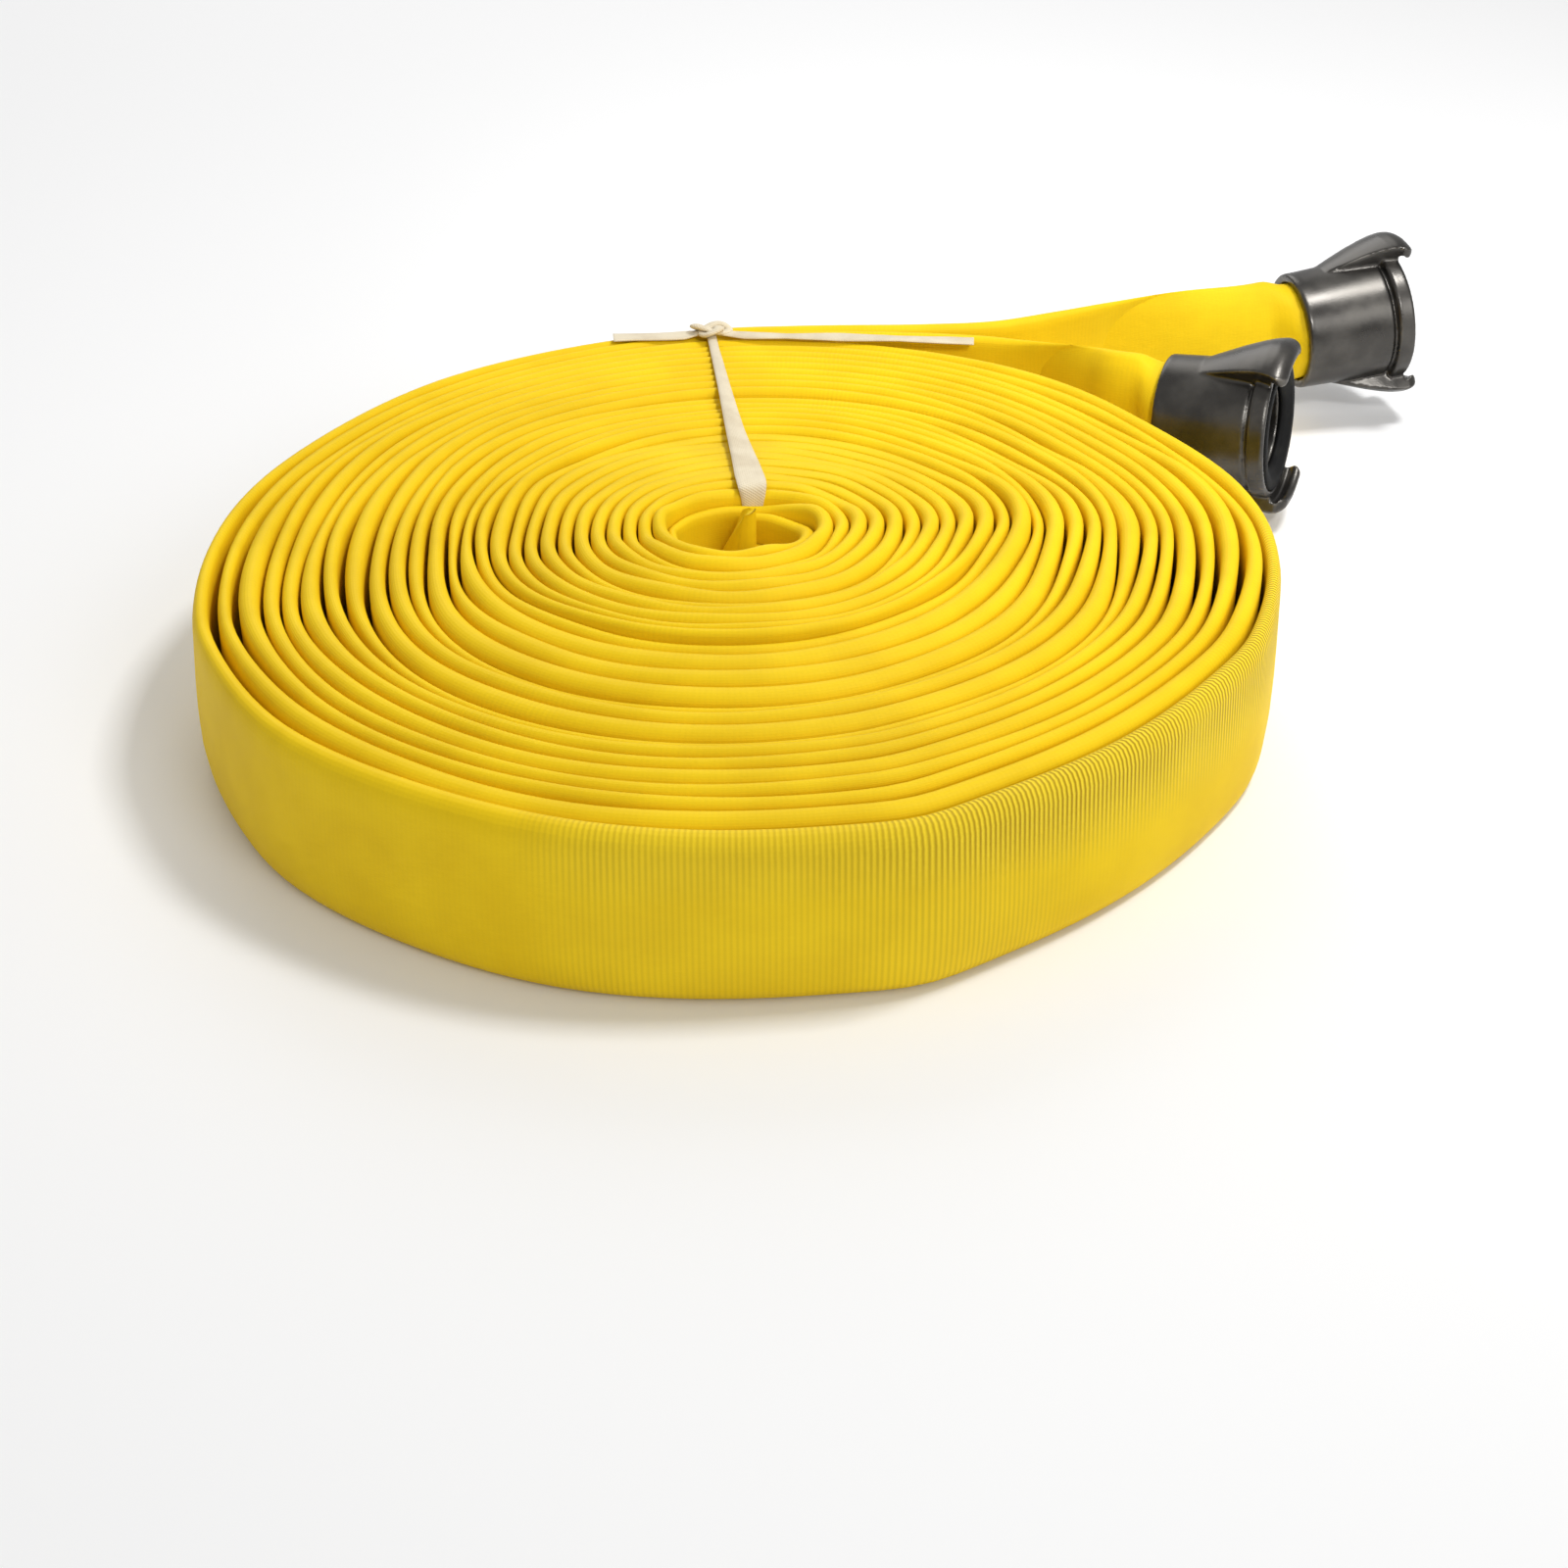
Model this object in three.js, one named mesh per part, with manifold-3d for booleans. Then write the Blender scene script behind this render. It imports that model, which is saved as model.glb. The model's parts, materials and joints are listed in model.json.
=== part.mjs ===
// Rolled lay-flat forestry fire hose: a doughnut roll held by a tie tape, with both ends and their
// quarter-turn couplings left free at the back. Millimetres, +Z up. The roll stands flat on z = 0.
import * as THREE from 'three';
import { mergeVertices } from 'three/addons/utils/BufferGeometryUtils.js';
import Module from 'manifold-3d';

const manifoldLibrary = await Module();
manifoldLibrary.setup();

// ---- Driving dimensions -------------------------------------------------------------------------

const GAP = 0.3; // clearance kept between pieces that touch
const HALF_TURN = Math.PI;

// The hose: flat in the roll, round in the couplings
const HOSE_WIDTH = 66;
const HOSE_THICKNESS = 6;
const JACKET_WALL = 2;
const LINER_WALL = 1.5;
const HOSE_ROUND_DIAMETER = 48.4; // outside, spread by the expansion ring
const HOSE_IN_BOWL = 31;
const PUFFED_HEIGHT = 58; // just outside the bowl, before the hose gathers into its mouth
const PUFFED_THICKNESS = 25;
const SHOULDER = 15; // length over which it gathers

// The roll, seen from above with its centre at x = y = 0; the turns run clockwise outwards
const ROLL_RADIUS = 225;
const ROLL_OVAL = -0.03;
const ROLL_SKEW = 0.028;
const STRAND_STEP = 14.4; // the two outer strands that leave the roll at the back
const STEP_ANGLE = THREE.MathUtils.degToRad(36); // over which the next turn takes their place
const EYE_CENTRE = new THREE.Vector2(-2, 13);
const EYE_RADII = new THREE.Vector2(31, 27);
const FOLD_THICKNESS = 9; // the two flattened strands of the fold in the middle
const FOLD_HEIGHT = 56;

// The free ends: the plan routes of the leads that the tape still holds, then the centre line of each
// end from its hinge on, and the coupling that it carries: the middle of its mouth, its heading, tilt
// and roll in degrees, and the stretch of hose before it that opens out from flat to round
const OUTER_LEAD = [[GAP, 228.1], [25, 228.1], [46.6, 228.3]];
const OUTER_TAIL = [
  [50, 228.3, 33.2], [90, 228.8, 33.2], [126, 231.2, 33.8],
  [156, 238.4, 36], [187, 248, 39], [220, 257.6, 42.2],
];
const OUTER_COUPLING = { x: 280, y: 271, z: 46.2, azimuth: 11, tilt: 6.5, roll: -3, opening: 145 };
const INNER_LEAD = [[GAP, 221.2], [40, 220.6], [80, 218.2], [114.6, 213.3]];
const INNER_TAIL = [[118, 212.6, 33.2], [134, 207.4, 33.8], [150, 197.4, 37], [168, 185, 41]];
const INNER_COUPLING = { x: 200.5, y: 165.8, z: 45.4, azimuth: -24, tilt: 3.6, roll: 15, opening: 92 };

// The quarter-turn coupling, along its own axis from the bowl's mouth (0) to the face
const BOWL_RADIUS = 29;
const BOWL_BORE_RADIUS = 24.5;
const BOWL_DEPTH = 34;
const WATERWAY_RADIUS = 18.7;
const SEAM_AT = 45;
const FLANGE_RADIUS = 33;
const FACE_AT = 54;
const GASKET_RADIUS = 29.6;
const GASKET_RECESS = 4.6;
const GASKET_PROUD = 0.7;
const RING_LENGTH = 27;
const RING_WALL = 1.4;
const CLAW_START = 13;
const CLAW_REACH = 7.2; // how far a claw stands beyond the face
const CLAW_RADIUS = 40.8;
const CLAW_LIP = 4; // length of the inward lip at its tip
const CLAW_INNER_RADIUS = 35.6;
const CLAW_LIP_RADIUS = 33.6;

// The tie tape
const TAPE_WIDTH = 12;
const TAPE_THICKNESS = 0.8;
const TAPE_AT_EYE = new THREE.Vector2(3, 37.8);
const TAPE_AT_WALL = new THREE.Vector2(-15.6, 231.6);
const KNOT_CENTRE = new THREE.Vector2(-14.6, 216);
const KNOT_SIZE = new THREE.Vector3(21, 15, 8);
const TAPE_LEFT_END = new THREE.Vector2(-62, 214);
const TAPE_RIGHT_END = new THREE.Vector2(112, 206);

// Where the roll's centre lies from the middle of the whole object's footprint
const FOOTPRINT_OFFSET = new THREE.Vector3(-63.93, -40.71, 0);

// Facets
const ROLL_STEPS = 96;
const EYE_STEPS = 36;
const ROUND_STEPS = 36;
const SECTION_SIDES = 20;
const TAIL_STEPS = 30;

// ---- Materials ----------------------------------------------------------------------------------

const jacketMaterial = new THREE.MeshStandardMaterial({ color: 0xf5cb2e, roughness: 0.75, metalness: 0 });
const linerMaterial = new THREE.MeshStandardMaterial({ color: 0xc9b98f, roughness: 0.6, metalness: 0 });
const couplingMaterial = new THREE.MeshStandardMaterial({ color: 0x4a4845, roughness: 0.42, metalness: 0.8 });
const gasketMaterial = new THREE.MeshStandardMaterial({ color: 0x101010, roughness: 0.7, metalness: 0 });
const brassMaterial = new THREE.MeshStandardMaterial({ color: 0xb08d4a, roughness: 0.4, metalness: 1 });
const tapeMaterial = new THREE.MeshStandardMaterial({ color: 0xe8dcc0, roughness: 0.9, metalness: 0 });

// ---- Solids -------------------------------------------------------------------------------------

function toSolid(geometry) {
  const bare = geometry.clone();
  bare.deleteAttribute('normal');
  bare.deleteAttribute('uv');
  const merged = mergeVertices(bare, 1e-4);
  return new manifoldLibrary.Manifold(new manifoldLibrary.Mesh({
    numProp: 3,
    vertProperties: new Float32Array(merged.attributes.position.array),
    triVerts: new Uint32Array(merged.index.array),
  }));
}

function toGeometry(solid) {
  const mesh = solid.getMesh();
  const geometry = new THREE.BufferGeometry();
  geometry.setAttribute('position', new THREE.BufferAttribute(new Float32Array(mesh.vertProperties), 3));
  geometry.setIndex(new THREE.BufferAttribute(new Uint32Array(mesh.triVerts), 1));
  geometry.computeVertexNormals();
  return geometry;
}

// A closed skin over rings of the same number of points; each ring turns anticlockwise when it is
// seen from the last ring, so the faces point out
function loft(rings) {
  const sides = rings[0].length;
  const positions = rings.flat().flatMap((point) => [point.x, point.y, point.z]);
  const triangles = [];
  for (let ring = 0; ring + 1 < rings.length; ring += 1) {
    for (let side = 0; side < sides; side += 1) {
      const a = ring * sides + side;
      const b = ring * sides + ((side + 1) % sides);
      triangles.push(a, b, b + sides, a, b + sides, a + sides);
    }
  }
  const last = (rings.length - 1) * sides;
  for (const [a, b, c] of capTriangles(rings[0])) {
    triangles.push(a, c, b);
  }
  for (const [a, b, c] of capTriangles(rings[rings.length - 1])) {
    triangles.push(last + a, last + b, last + c);
  }
  const geometry = new THREE.BufferGeometry();
  geometry.setAttribute('position', new THREE.Float32BufferAttribute(positions, 3));
  geometry.setIndex(triangles);
  geometry.computeVertexNormals();
  return geometry;
}

// Triangles over a flat ring of points, in its own order
function capTriangles(ring) {
  const centre = ring.reduce((sum, point) => sum.add(point), new THREE.Vector3()).divideScalar(ring.length);
  const normal = new THREE.Vector3();
  ring.forEach((point, index) => {
    const next = ring[(index + 1) % ring.length];
    normal.add(point.clone().sub(centre).cross(next.clone().sub(centre)));
  });
  normal.normalize();
  const across = ring[0].clone().sub(centre).normalize();
  const up = normal.clone().cross(across);
  const flat = ring.map((point) => {
    const arm = point.clone().sub(centre);
    return new THREE.Vector2(arm.dot(across), arm.dot(up));
  });
  return THREE.ShapeUtils.triangulateShape(flat, []);
}

function turned(profile) {
  const points = profile.map(([along, radius]) => new THREE.Vector2(radius, along));
  points.push(points[0].clone());
  const geometry = new THREE.LatheGeometry(points, ROUND_STEPS);
  geometry.rotateZ(-HALF_TURN / 2); // the turning axis +Y becomes the coupling's +X
  return geometry;
}

function named(name, geometry, material) {
  const mesh = new THREE.Mesh(geometry, material);
  mesh.name = name;
  return mesh;
}

// ---- The roll -----------------------------------------------------------------------------------

// Outline of the roll; past the back, going clockwise, it lies inside the two strands that have left
function rollRadius(angle) {
  const outline = ROLL_RADIUS * (1 + ROLL_OVAL * Math.cos(2 * angle) + ROLL_SKEW * Math.sin(2 * angle));
  const leftBehind = angle < HALF_TURN / 2 ? THREE.MathUtils.smoothstep(angle, 0, STEP_ANGLE) : 0;
  return outline - STRAND_STEP * leftBehind;
}

function makeRoll() {
  const outline = new THREE.Shape();
  const back = HALF_TURN / 2;
  outline.moveTo(0, rollRadius(back - 1e-4));
  for (let step = 0; step <= ROLL_STEPS; step += 1) {
    const angle = back + (2 * HALF_TURN * step) / ROLL_STEPS;
    const wrapped = angle > HALF_TURN ? angle - 2 * HALF_TURN : angle;
    const radius = rollRadius(wrapped);
    if (step < ROLL_STEPS) {
      outline.lineTo(radius * Math.cos(angle), radius * Math.sin(angle));
    }
  }
  const eye = new THREE.Path();
  eye.absellipse(EYE_CENTRE.x, EYE_CENTRE.y, EYE_RADII.x, EYE_RADII.y, 0, 2 * HALF_TURN, true);
  outline.holes.push(eye);
  const geometry = new THREE.ExtrudeGeometry(outline, {
    depth: HOSE_WIDTH,
    bevelEnabled: false,
    curveSegments: EYE_STEPS,
  });
  const groove = makeTapeLoopSpace();
  return named('hose_roll', toGeometry(toSolid(geometry).subtract(groove)), jacketMaterial);
}

// A strip of hose standing on edge along a plan route
function standingStrip(route, thickness, bottom, height) {
  const curve = new THREE.CatmullRomCurve3(route.map(([x, y]) => new THREE.Vector3(x, y, 0)));
  const steps = 4 * (route.length - 1);
  const near = [];
  const far = [];
  for (let step = 0; step <= steps; step += 1) {
    const point = curve.getPoint(step / steps);
    const tangent = curve.getTangent(step / steps);
    const side = new THREE.Vector2(-tangent.y, tangent.x).multiplyScalar(thickness / 2);
    near.push(new THREE.Vector2(point.x - side.x, point.y - side.y));
    far.push(new THREE.Vector2(point.x + side.x, point.y + side.y));
  }
  const shape = new THREE.Shape([...near, ...far.reverse()]);
  const geometry = new THREE.ExtrudeGeometry(shape, { depth: height, bevelEnabled: false });
  geometry.translate(0, 0, bottom);
  return geometry;
}

// The middle of the hose, folded back on itself in the eye: along the right wall, then to the centre
function makeFold() {
  const route = [];
  const inset = 2 * GAP + FOLD_THICKNESS / 2;
  for (const degrees of [-25, 0, 25, 50]) {
    const angle = THREE.MathUtils.degToRad(degrees);
    route.push([
      EYE_CENTRE.x + (EYE_RADII.x - inset) * Math.cos(angle),
      EYE_CENTRE.y + (EYE_RADII.y - inset) * Math.sin(angle),
    ]);
  }
  route.push([8, 30.5], [4.5, 26], [4, 17]);
  return named('hose_centre_fold', standingStrip(route, FOLD_THICKNESS, 1, FOLD_HEIGHT), jacketMaterial);
}

// ---- The free ends ------------------------------------------------------------------------------

function couplingFrame(coupling) {
  const turn = new THREE.Euler(
    THREE.MathUtils.degToRad(coupling.roll),
    THREE.MathUtils.degToRad(-coupling.tilt),
    THREE.MathUtils.degToRad(coupling.azimuth),
    'ZYX',
  );
  return {
    mouth: new THREE.Vector3(coupling.x, coupling.y, coupling.z),
    turn,
    axis: new THREE.Vector3(1, 0, 0).applyEuler(turn),
  };
}

// Stations along a free end, from its hinge to its end in the coupling: place, heading and size
function tailStations(route, coupling) {
  const { mouth, axis } = couplingFrame(coupling);
  const curve = new THREE.CatmullRomCurve3([
    ...route.map(([x, y, z]) => new THREE.Vector3(x, y, z)),
    mouth.clone().addScaledVector(axis, -24),
    mouth,
    mouth.clone().addScaledVector(axis, HOSE_IN_BOWL),
  ], false, 'centripetal');
  const places = curve.getPoints(TAIL_STEPS);
  const lengths = [0];
  for (let step = 1; step <= TAIL_STEPS; step += 1) {
    lengths.push(lengths[step - 1] + places[step].distanceTo(places[step - 1]));
  }
  const mouthAt = lengths[TAIL_STEPS] - HOSE_IN_BOWL;
  return places.map((place, step) => {
    const before = places[Math.max(step - 1, 0)];
    const after = places[Math.min(step + 1, TAIL_STEPS)];
    const opened = THREE.MathUtils.clamp(1 - (mouthAt - lengths[step]) / coupling.opening, 0, 1);
    const heading = after.clone().sub(before);
    heading.z *= opened; // the flat hose stands upright
    const inBowl = lengths[step] > mouthAt - 10;
    return {
      place,
      heading: inBowl ? axis : heading.normalize(),
      ...sectionSize(opened, mouthAt - lengths[step]),
    };
  });
}

// Height and thickness of the hose where it has opened by a given share, at a distance from the mouth
function sectionSize(opened, toMouth) {
  const ease = THREE.MathUtils.smoothstep(opened, 0, 1);
  const gather = THREE.MathUtils.smoothstep(1 - toMouth / SHOULDER, 0, 1);
  const height = THREE.MathUtils.lerp(HOSE_WIDTH, PUFFED_HEIGHT, ease);
  const thickness = THREE.MathUtils.lerp(HOSE_THICKNESS, PUFFED_THICKNESS, ease);
  return {
    height: THREE.MathUtils.lerp(height, HOSE_ROUND_DIAMETER, gather),
    thickness: THREE.MathUtils.lerp(thickness, HOSE_ROUND_DIAMETER, gather),
  };
}

// A flattened round section, smaller by inset on every side
function sectionRing(station, inset) {
  const height = station.height - 2 * inset;
  const thickness = station.thickness - 2 * inset;
  const side = new THREE.Vector3(0, 0, 1).cross(station.heading).normalize();
  const upward = station.heading.clone().cross(side);
  const ring = [];
  for (let index = 0; index < SECTION_SIDES; index += 1) {
    const angle = (2 * HALF_TURN * index) / SECTION_SIDES;
    const across = (thickness / 2) * Math.cos(angle);
    const upright = ((height - thickness) / 2) * Math.sign(Math.round(1e6 * Math.sin(angle)));
    const up = upright + (thickness / 2) * Math.sin(angle);
    ring.push(station.place.clone().addScaledVector(side, across).addScaledVector(upward, up));
  }
  return ring;
}

// The hollow part of a skin of the hose: from where the section is thick enough to hold it
function hollowStations(stations, inset) {
  const least = 2 * inset + 1.2;
  return stations.filter((station) => station.thickness > least);
}

// The same stations with the last one moved on, so that a hollow runs out through the end
function extended(stations, distance) {
  const last = stations[stations.length - 1];
  const place = last.place.clone().addScaledVector(last.heading, distance);
  return [...stations.slice(0, -1), { ...last, place }];
}

function makeTail(prefix, route, coupling) {
  const stations = tailStations(route, coupling);
  const rounded = [...hingeNose(stations[0]), ...stations];
  const outer = toSolid(loft(rounded.map((station) => sectionRing(station, 0))));
  const bore = toSolid(loft(extended(hollowStations(stations, JACKET_WALL), 5)
    .map((station) => sectionRing(station, JACKET_WALL))));
  const linerOuter = JACKET_WALL + GAP;
  const linerInner = linerOuter + LINER_WALL;
  const skin = toSolid(loft(hollowStations(stations, linerOuter)
    .map((station) => sectionRing(station, linerOuter))));
  const waterway = toSolid(loft(extended(hollowStations(stations, linerInner), 5)
    .map((station) => sectionRing(station, linerInner))));
  return [
    named(`${prefix}_jacket`, toGeometry(outer.subtract(bore)), jacketMaterial),
    named(`${prefix}_liner`, toGeometry(skin.subtract(waterway)), linerMaterial),
  ];
}

// The round end of a free end, about its hinge
function hingeNose(station) {
  return [78, 55, 28].map((degrees) => {
    const angle = THREE.MathUtils.degToRad(degrees);
    const back = (-HOSE_THICKNESS / 2) * Math.sin(angle);
    return {
      ...station,
      place: station.place.clone().addScaledVector(station.heading, back),
      thickness: HOSE_THICKNESS * Math.cos(angle),
    };
  });
}

// ---- The couplings ------------------------------------------------------------------------------

function makeCouplingBody(name) {
  const recessFloor = FACE_AT - GASKET_RECESS;
  const body = toSolid(turned([
    [0, BOWL_RADIUS - 0.9],
    [0.9, BOWL_RADIUS],
    [SEAM_AT - 0.8, BOWL_RADIUS + 1.6],
    [SEAM_AT - 0.8, BOWL_RADIUS + 0.4],
    [SEAM_AT + 0.6, BOWL_RADIUS + 0.4],
    [SEAM_AT + 0.6, FLANGE_RADIUS - 0.6],
    [SEAM_AT + 1.4, FLANGE_RADIUS],
    [FACE_AT - 1, FLANGE_RADIUS],
    [FACE_AT, FLANGE_RADIUS - 1],
    [FACE_AT, GASKET_RADIUS + GAP],
    [recessFloor, GASKET_RADIUS + GAP],
    [recessFloor, WATERWAY_RADIUS],
    [BOWL_DEPTH, WATERWAY_RADIUS],
    [BOWL_DEPTH, BOWL_BORE_RADIUS],
    [1.2, BOWL_BORE_RADIUS],
    [0, BOWL_BORE_RADIUS + 1],
  ]));
  const upper = makeClaw();
  const lower = makeClaw();
  lower.rotateX(HALF_TURN);
  const withClaws = body.add(toSolid(upper)).add(toSolid(lower));
  return named(name, toGeometry(withClaws), couplingMaterial);
}

// One claw: a ramp that rises and widens along the body, reaches past the face and turns in at its tip
function makeClaw() {
  const tip = FACE_AT + CLAW_REACH;
  const lip = tip - CLAW_LIP;
  const stations = [
    { along: CLAW_START, radius: BOWL_RADIUS - 1.4, inner: BOWL_RADIUS - 3.4, far: -20, near: 6 },
    { along: 20, radius: BOWL_RADIUS + 1.3, inner: BOWL_RADIUS - 2.6, far: -24, near: 9 },
    { along: 36, radius: BOWL_RADIUS + 7.3, inner: BOWL_RADIUS - 2, far: -31, near: 14 },
    { along: 44, radius: CLAW_RADIUS - 1.9, inner: BOWL_RADIUS - 2, far: -33, near: 16 },
    { along: 49, radius: CLAW_RADIUS - 0.6, inner: BOWL_RADIUS + 1.8, far: -34, near: 18 },
    { along: FACE_AT - 0.6, radius: CLAW_RADIUS, inner: BOWL_RADIUS + 2, far: -34, near: 20 },
    { along: FACE_AT, radius: CLAW_RADIUS, inner: CLAW_INNER_RADIUS, far: -34, near: 21 },
    { along: lip - 0.4, radius: CLAW_RADIUS - 0.4, inner: CLAW_INNER_RADIUS, far: -33, near: 22 },
    { along: lip, radius: CLAW_RADIUS - 0.6, inner: CLAW_LIP_RADIUS, far: -33, near: 22 },
    { along: tip - 1.8, radius: CLAW_RADIUS - 1.8, inner: CLAW_LIP_RADIUS, far: -31, near: 21 },
    { along: tip, radius: CLAW_RADIUS - 4.4, inner: CLAW_LIP_RADIUS + 1.4, far: -25, near: 17 },
  ];
  const steps = 6;
  return loft(stations.map((station) => {
    const ring = [];
    for (let step = 0; step <= steps; step += 1) {
      ring.push(clawPoint(station, station.radius, step / steps));
    }
    for (let step = steps; step >= 0; step -= 1) {
      ring.push(clawPoint(station, station.inner, step / steps));
    }
    return ring;
  }));
}

// A point of a claw at a radius, from its far edge (0) to its near edge (1), measured from the top
function clawPoint(station, radius, share) {
  const angle = THREE.MathUtils.degToRad(THREE.MathUtils.lerp(station.far, station.near, share));
  return new THREE.Vector3(station.along, -radius * Math.sin(angle), radius * Math.cos(angle));
}

function makeFaceGasket(name) {
  const back = FACE_AT - GASKET_RECESS + GAP;
  const front = FACE_AT + GASKET_PROUD;
  const bore = WATERWAY_RADIUS + 0.3;
  return named(name, turned([
    [back, GASKET_RADIUS],
    [front - 0.8, GASKET_RADIUS],
    [front, GASKET_RADIUS - 0.8],
    [front, bore + 3.2],
    [front - 1.4, bore + 1.2],
    [front - 1.4, bore],
    [back, bore],
  ]), gasketMaterial);
}

function makeTailGasket(name) {
  const back = HOSE_IN_BOWL + GAP;
  const front = BOWL_DEPTH - GAP;
  return named(name, turned([
    [back, BOWL_BORE_RADIUS - GAP],
    [front, BOWL_BORE_RADIUS - GAP],
    [front, WATERWAY_RADIUS + 0.3],
    [back, WATERWAY_RADIUS + 0.3],
  ]), gasketMaterial);
}

function makeExpansionRing(name) {
  const outer = HOSE_ROUND_DIAMETER / 2 - JACKET_WALL - GAP - LINER_WALL - GAP;
  const front = HOSE_IN_BOWL - GAP;
  const back = front - RING_LENGTH;
  return named(name, turned([
    [back, outer - 0.4],
    [back + 1.5, outer],
    [front, outer],
    [front, outer - RING_WALL],
    [back, outer - RING_WALL],
  ]), brassMaterial);
}

function makeCoupling(prefix, coupling) {
  const { mouth, turn } = couplingFrame(coupling);
  const placed = new THREE.Group();
  placed.position.copy(mouth);
  placed.rotation.copy(turn);
  placed.add(makeCouplingBody(`${prefix}_coupling_body`));
  placed.add(makeFaceGasket(`${prefix}_face_gasket`));
  placed.add(makeTailGasket(`${prefix}_tail_gasket`));
  placed.add(makeExpansionRing(`${prefix}_expansion_ring`));
  return placed;
}

// ---- The tie tape -------------------------------------------------------------------------------

// The band that goes through the eye and round the back of the roll, thicker by slack on every side
function tapeBand(slack) {
  const run = TAPE_AT_WALL.clone().sub(TAPE_AT_EYE);
  const length = run.length();
  const low = GAP + TAPE_THICKNESS;
  const inside = { left: 0, right: length + GAP, bottom: low, top: HOSE_WIDTH + GAP };
  const around = TAPE_THICKNESS;
  const outline = new THREE.Shape();
  rectangle(
    outline, inside.left - around, inside.bottom - around, inside.right + around, inside.top + around,
  );
  const hole = new THREE.Path();
  rectangle(hole, inside.left + slack, inside.bottom + slack, inside.right - slack, inside.top - slack);
  outline.holes.push(hole);
  const width = TAPE_WIDTH + 2 * slack;
  const geometry = new THREE.ExtrudeGeometry(outline, { depth: width, bevelEnabled: false });
  geometry.translate(0, 0, -width / 2);
  geometry.rotateX(HALF_TURN / 2);
  geometry.rotateZ(Math.atan2(run.y, run.x));
  geometry.translate(TAPE_AT_EYE.x, TAPE_AT_EYE.y, 0);
  return geometry;
}

function rectangle(path, left, bottom, right, top) {
  path.moveTo(left, bottom);
  path.lineTo(right, bottom);
  path.lineTo(right, top);
  path.lineTo(left, top);
  path.closePath();
}

function makeTapeLoopSpace() {
  return toSolid(tapeBand(GAP));
}

function makeTapeEnd(name, from, to) {
  const run = to.clone().sub(from);
  const geometry = new THREE.BoxGeometry(run.length(), TAPE_WIDTH, TAPE_THICKNESS);
  geometry.translate(run.length() / 2, 0, 0);
  const mesh = named(name, geometry, tapeMaterial);
  mesh.position.set(from.x, from.y, HOSE_WIDTH + 2 * GAP + TAPE_THICKNESS / 2);
  mesh.rotation.z = Math.atan2(run.y, run.x);
  return mesh;
}

function makeTape() {
  const top = HOSE_WIDTH + 2 * GAP + TAPE_THICKNESS;
  const knot = new THREE.SphereGeometry(0.5, 16, 10);
  knot.scale(KNOT_SIZE.x, KNOT_SIZE.y, KNOT_SIZE.z);
  knot.translate(KNOT_CENTRE.x, KNOT_CENTRE.y, top + KNOT_SIZE.z / 2);
  const clear = KNOT_SIZE.x / 2;
  const leftStart = new THREE.Vector2(KNOT_CENTRE.x - clear, KNOT_CENTRE.y);
  const rightStart = new THREE.Vector2(KNOT_CENTRE.x + clear, KNOT_CENTRE.y);
  return [
    named('tie_tape_loop', tapeBand(0), tapeMaterial),
    named('tie_tape_knot', knot, tapeMaterial),
    makeTapeEnd('tie_tape_left_end', leftStart, TAPE_LEFT_END),
    makeTapeEnd('tie_tape_right_end', rightStart, TAPE_RIGHT_END),
  ];
}

// ---- The object ---------------------------------------------------------------------------------

const hose = new THREE.Group();
hose.position.copy(FOOTPRINT_OFFSET);
hose.add(makeRoll());
hose.add(makeFold());
hose.add(named('outer_lead', standingStrip(OUTER_LEAD, HOSE_THICKNESS, 0, HOSE_WIDTH), jacketMaterial));
hose.add(named('inner_lead', standingStrip(INNER_LEAD, HOSE_THICKNESS, 0, HOSE_WIDTH), jacketMaterial));
hose.add(...makeTail('outer', OUTER_TAIL, OUTER_COUPLING));
hose.add(...makeTail('inner', INNER_TAIL, INNER_COUPLING));
hose.add(makeCoupling('outer', OUTER_COUPLING));
hose.add(makeCoupling('inner', INNER_COUPLING));
hose.add(...makeTape());

export default hose;
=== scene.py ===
"""A rolled lay-flat fire hose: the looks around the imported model. Metres, in the model's own frame.

The hose is drawn in millimetres from the middle of the roll's base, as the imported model's source does.
"""

import json
import math

import bpy
import numpy as np
from mathutils import Matrix, Vector


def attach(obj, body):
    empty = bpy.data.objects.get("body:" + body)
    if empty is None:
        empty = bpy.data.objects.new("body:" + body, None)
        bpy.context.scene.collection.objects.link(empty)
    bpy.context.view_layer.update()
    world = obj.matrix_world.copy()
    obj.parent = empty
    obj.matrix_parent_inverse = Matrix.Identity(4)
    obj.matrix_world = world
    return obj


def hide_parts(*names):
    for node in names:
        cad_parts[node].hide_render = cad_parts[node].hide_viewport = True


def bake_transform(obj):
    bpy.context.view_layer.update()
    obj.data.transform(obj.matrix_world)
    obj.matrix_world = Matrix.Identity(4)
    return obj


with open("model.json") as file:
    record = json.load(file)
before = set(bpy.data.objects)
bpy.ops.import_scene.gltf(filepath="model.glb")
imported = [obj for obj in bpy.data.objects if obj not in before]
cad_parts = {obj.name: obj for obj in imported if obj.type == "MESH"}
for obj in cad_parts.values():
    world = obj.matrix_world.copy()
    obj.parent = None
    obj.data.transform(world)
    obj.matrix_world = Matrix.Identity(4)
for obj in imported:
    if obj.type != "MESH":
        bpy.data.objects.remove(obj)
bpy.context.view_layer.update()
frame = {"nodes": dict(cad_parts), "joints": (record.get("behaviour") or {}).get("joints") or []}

MM = 0.001
HINGES = {joint["name"]: Vector(joint["pos_m"]) for joint in frame["joints"]}
OUTER_HINGE = Vector((50, 228.3, 33.2))  # where the outer end bends, from the middle of the roll's base
ROLL_CENTRE = HINGES["outer_end_bend"] - OUTER_HINGE * MM


def place(point):
    """A point given in millimetres from the middle of the roll's base, in the model's frame."""
    return ROLL_CENTRE + Vector(point) * MM


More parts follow.
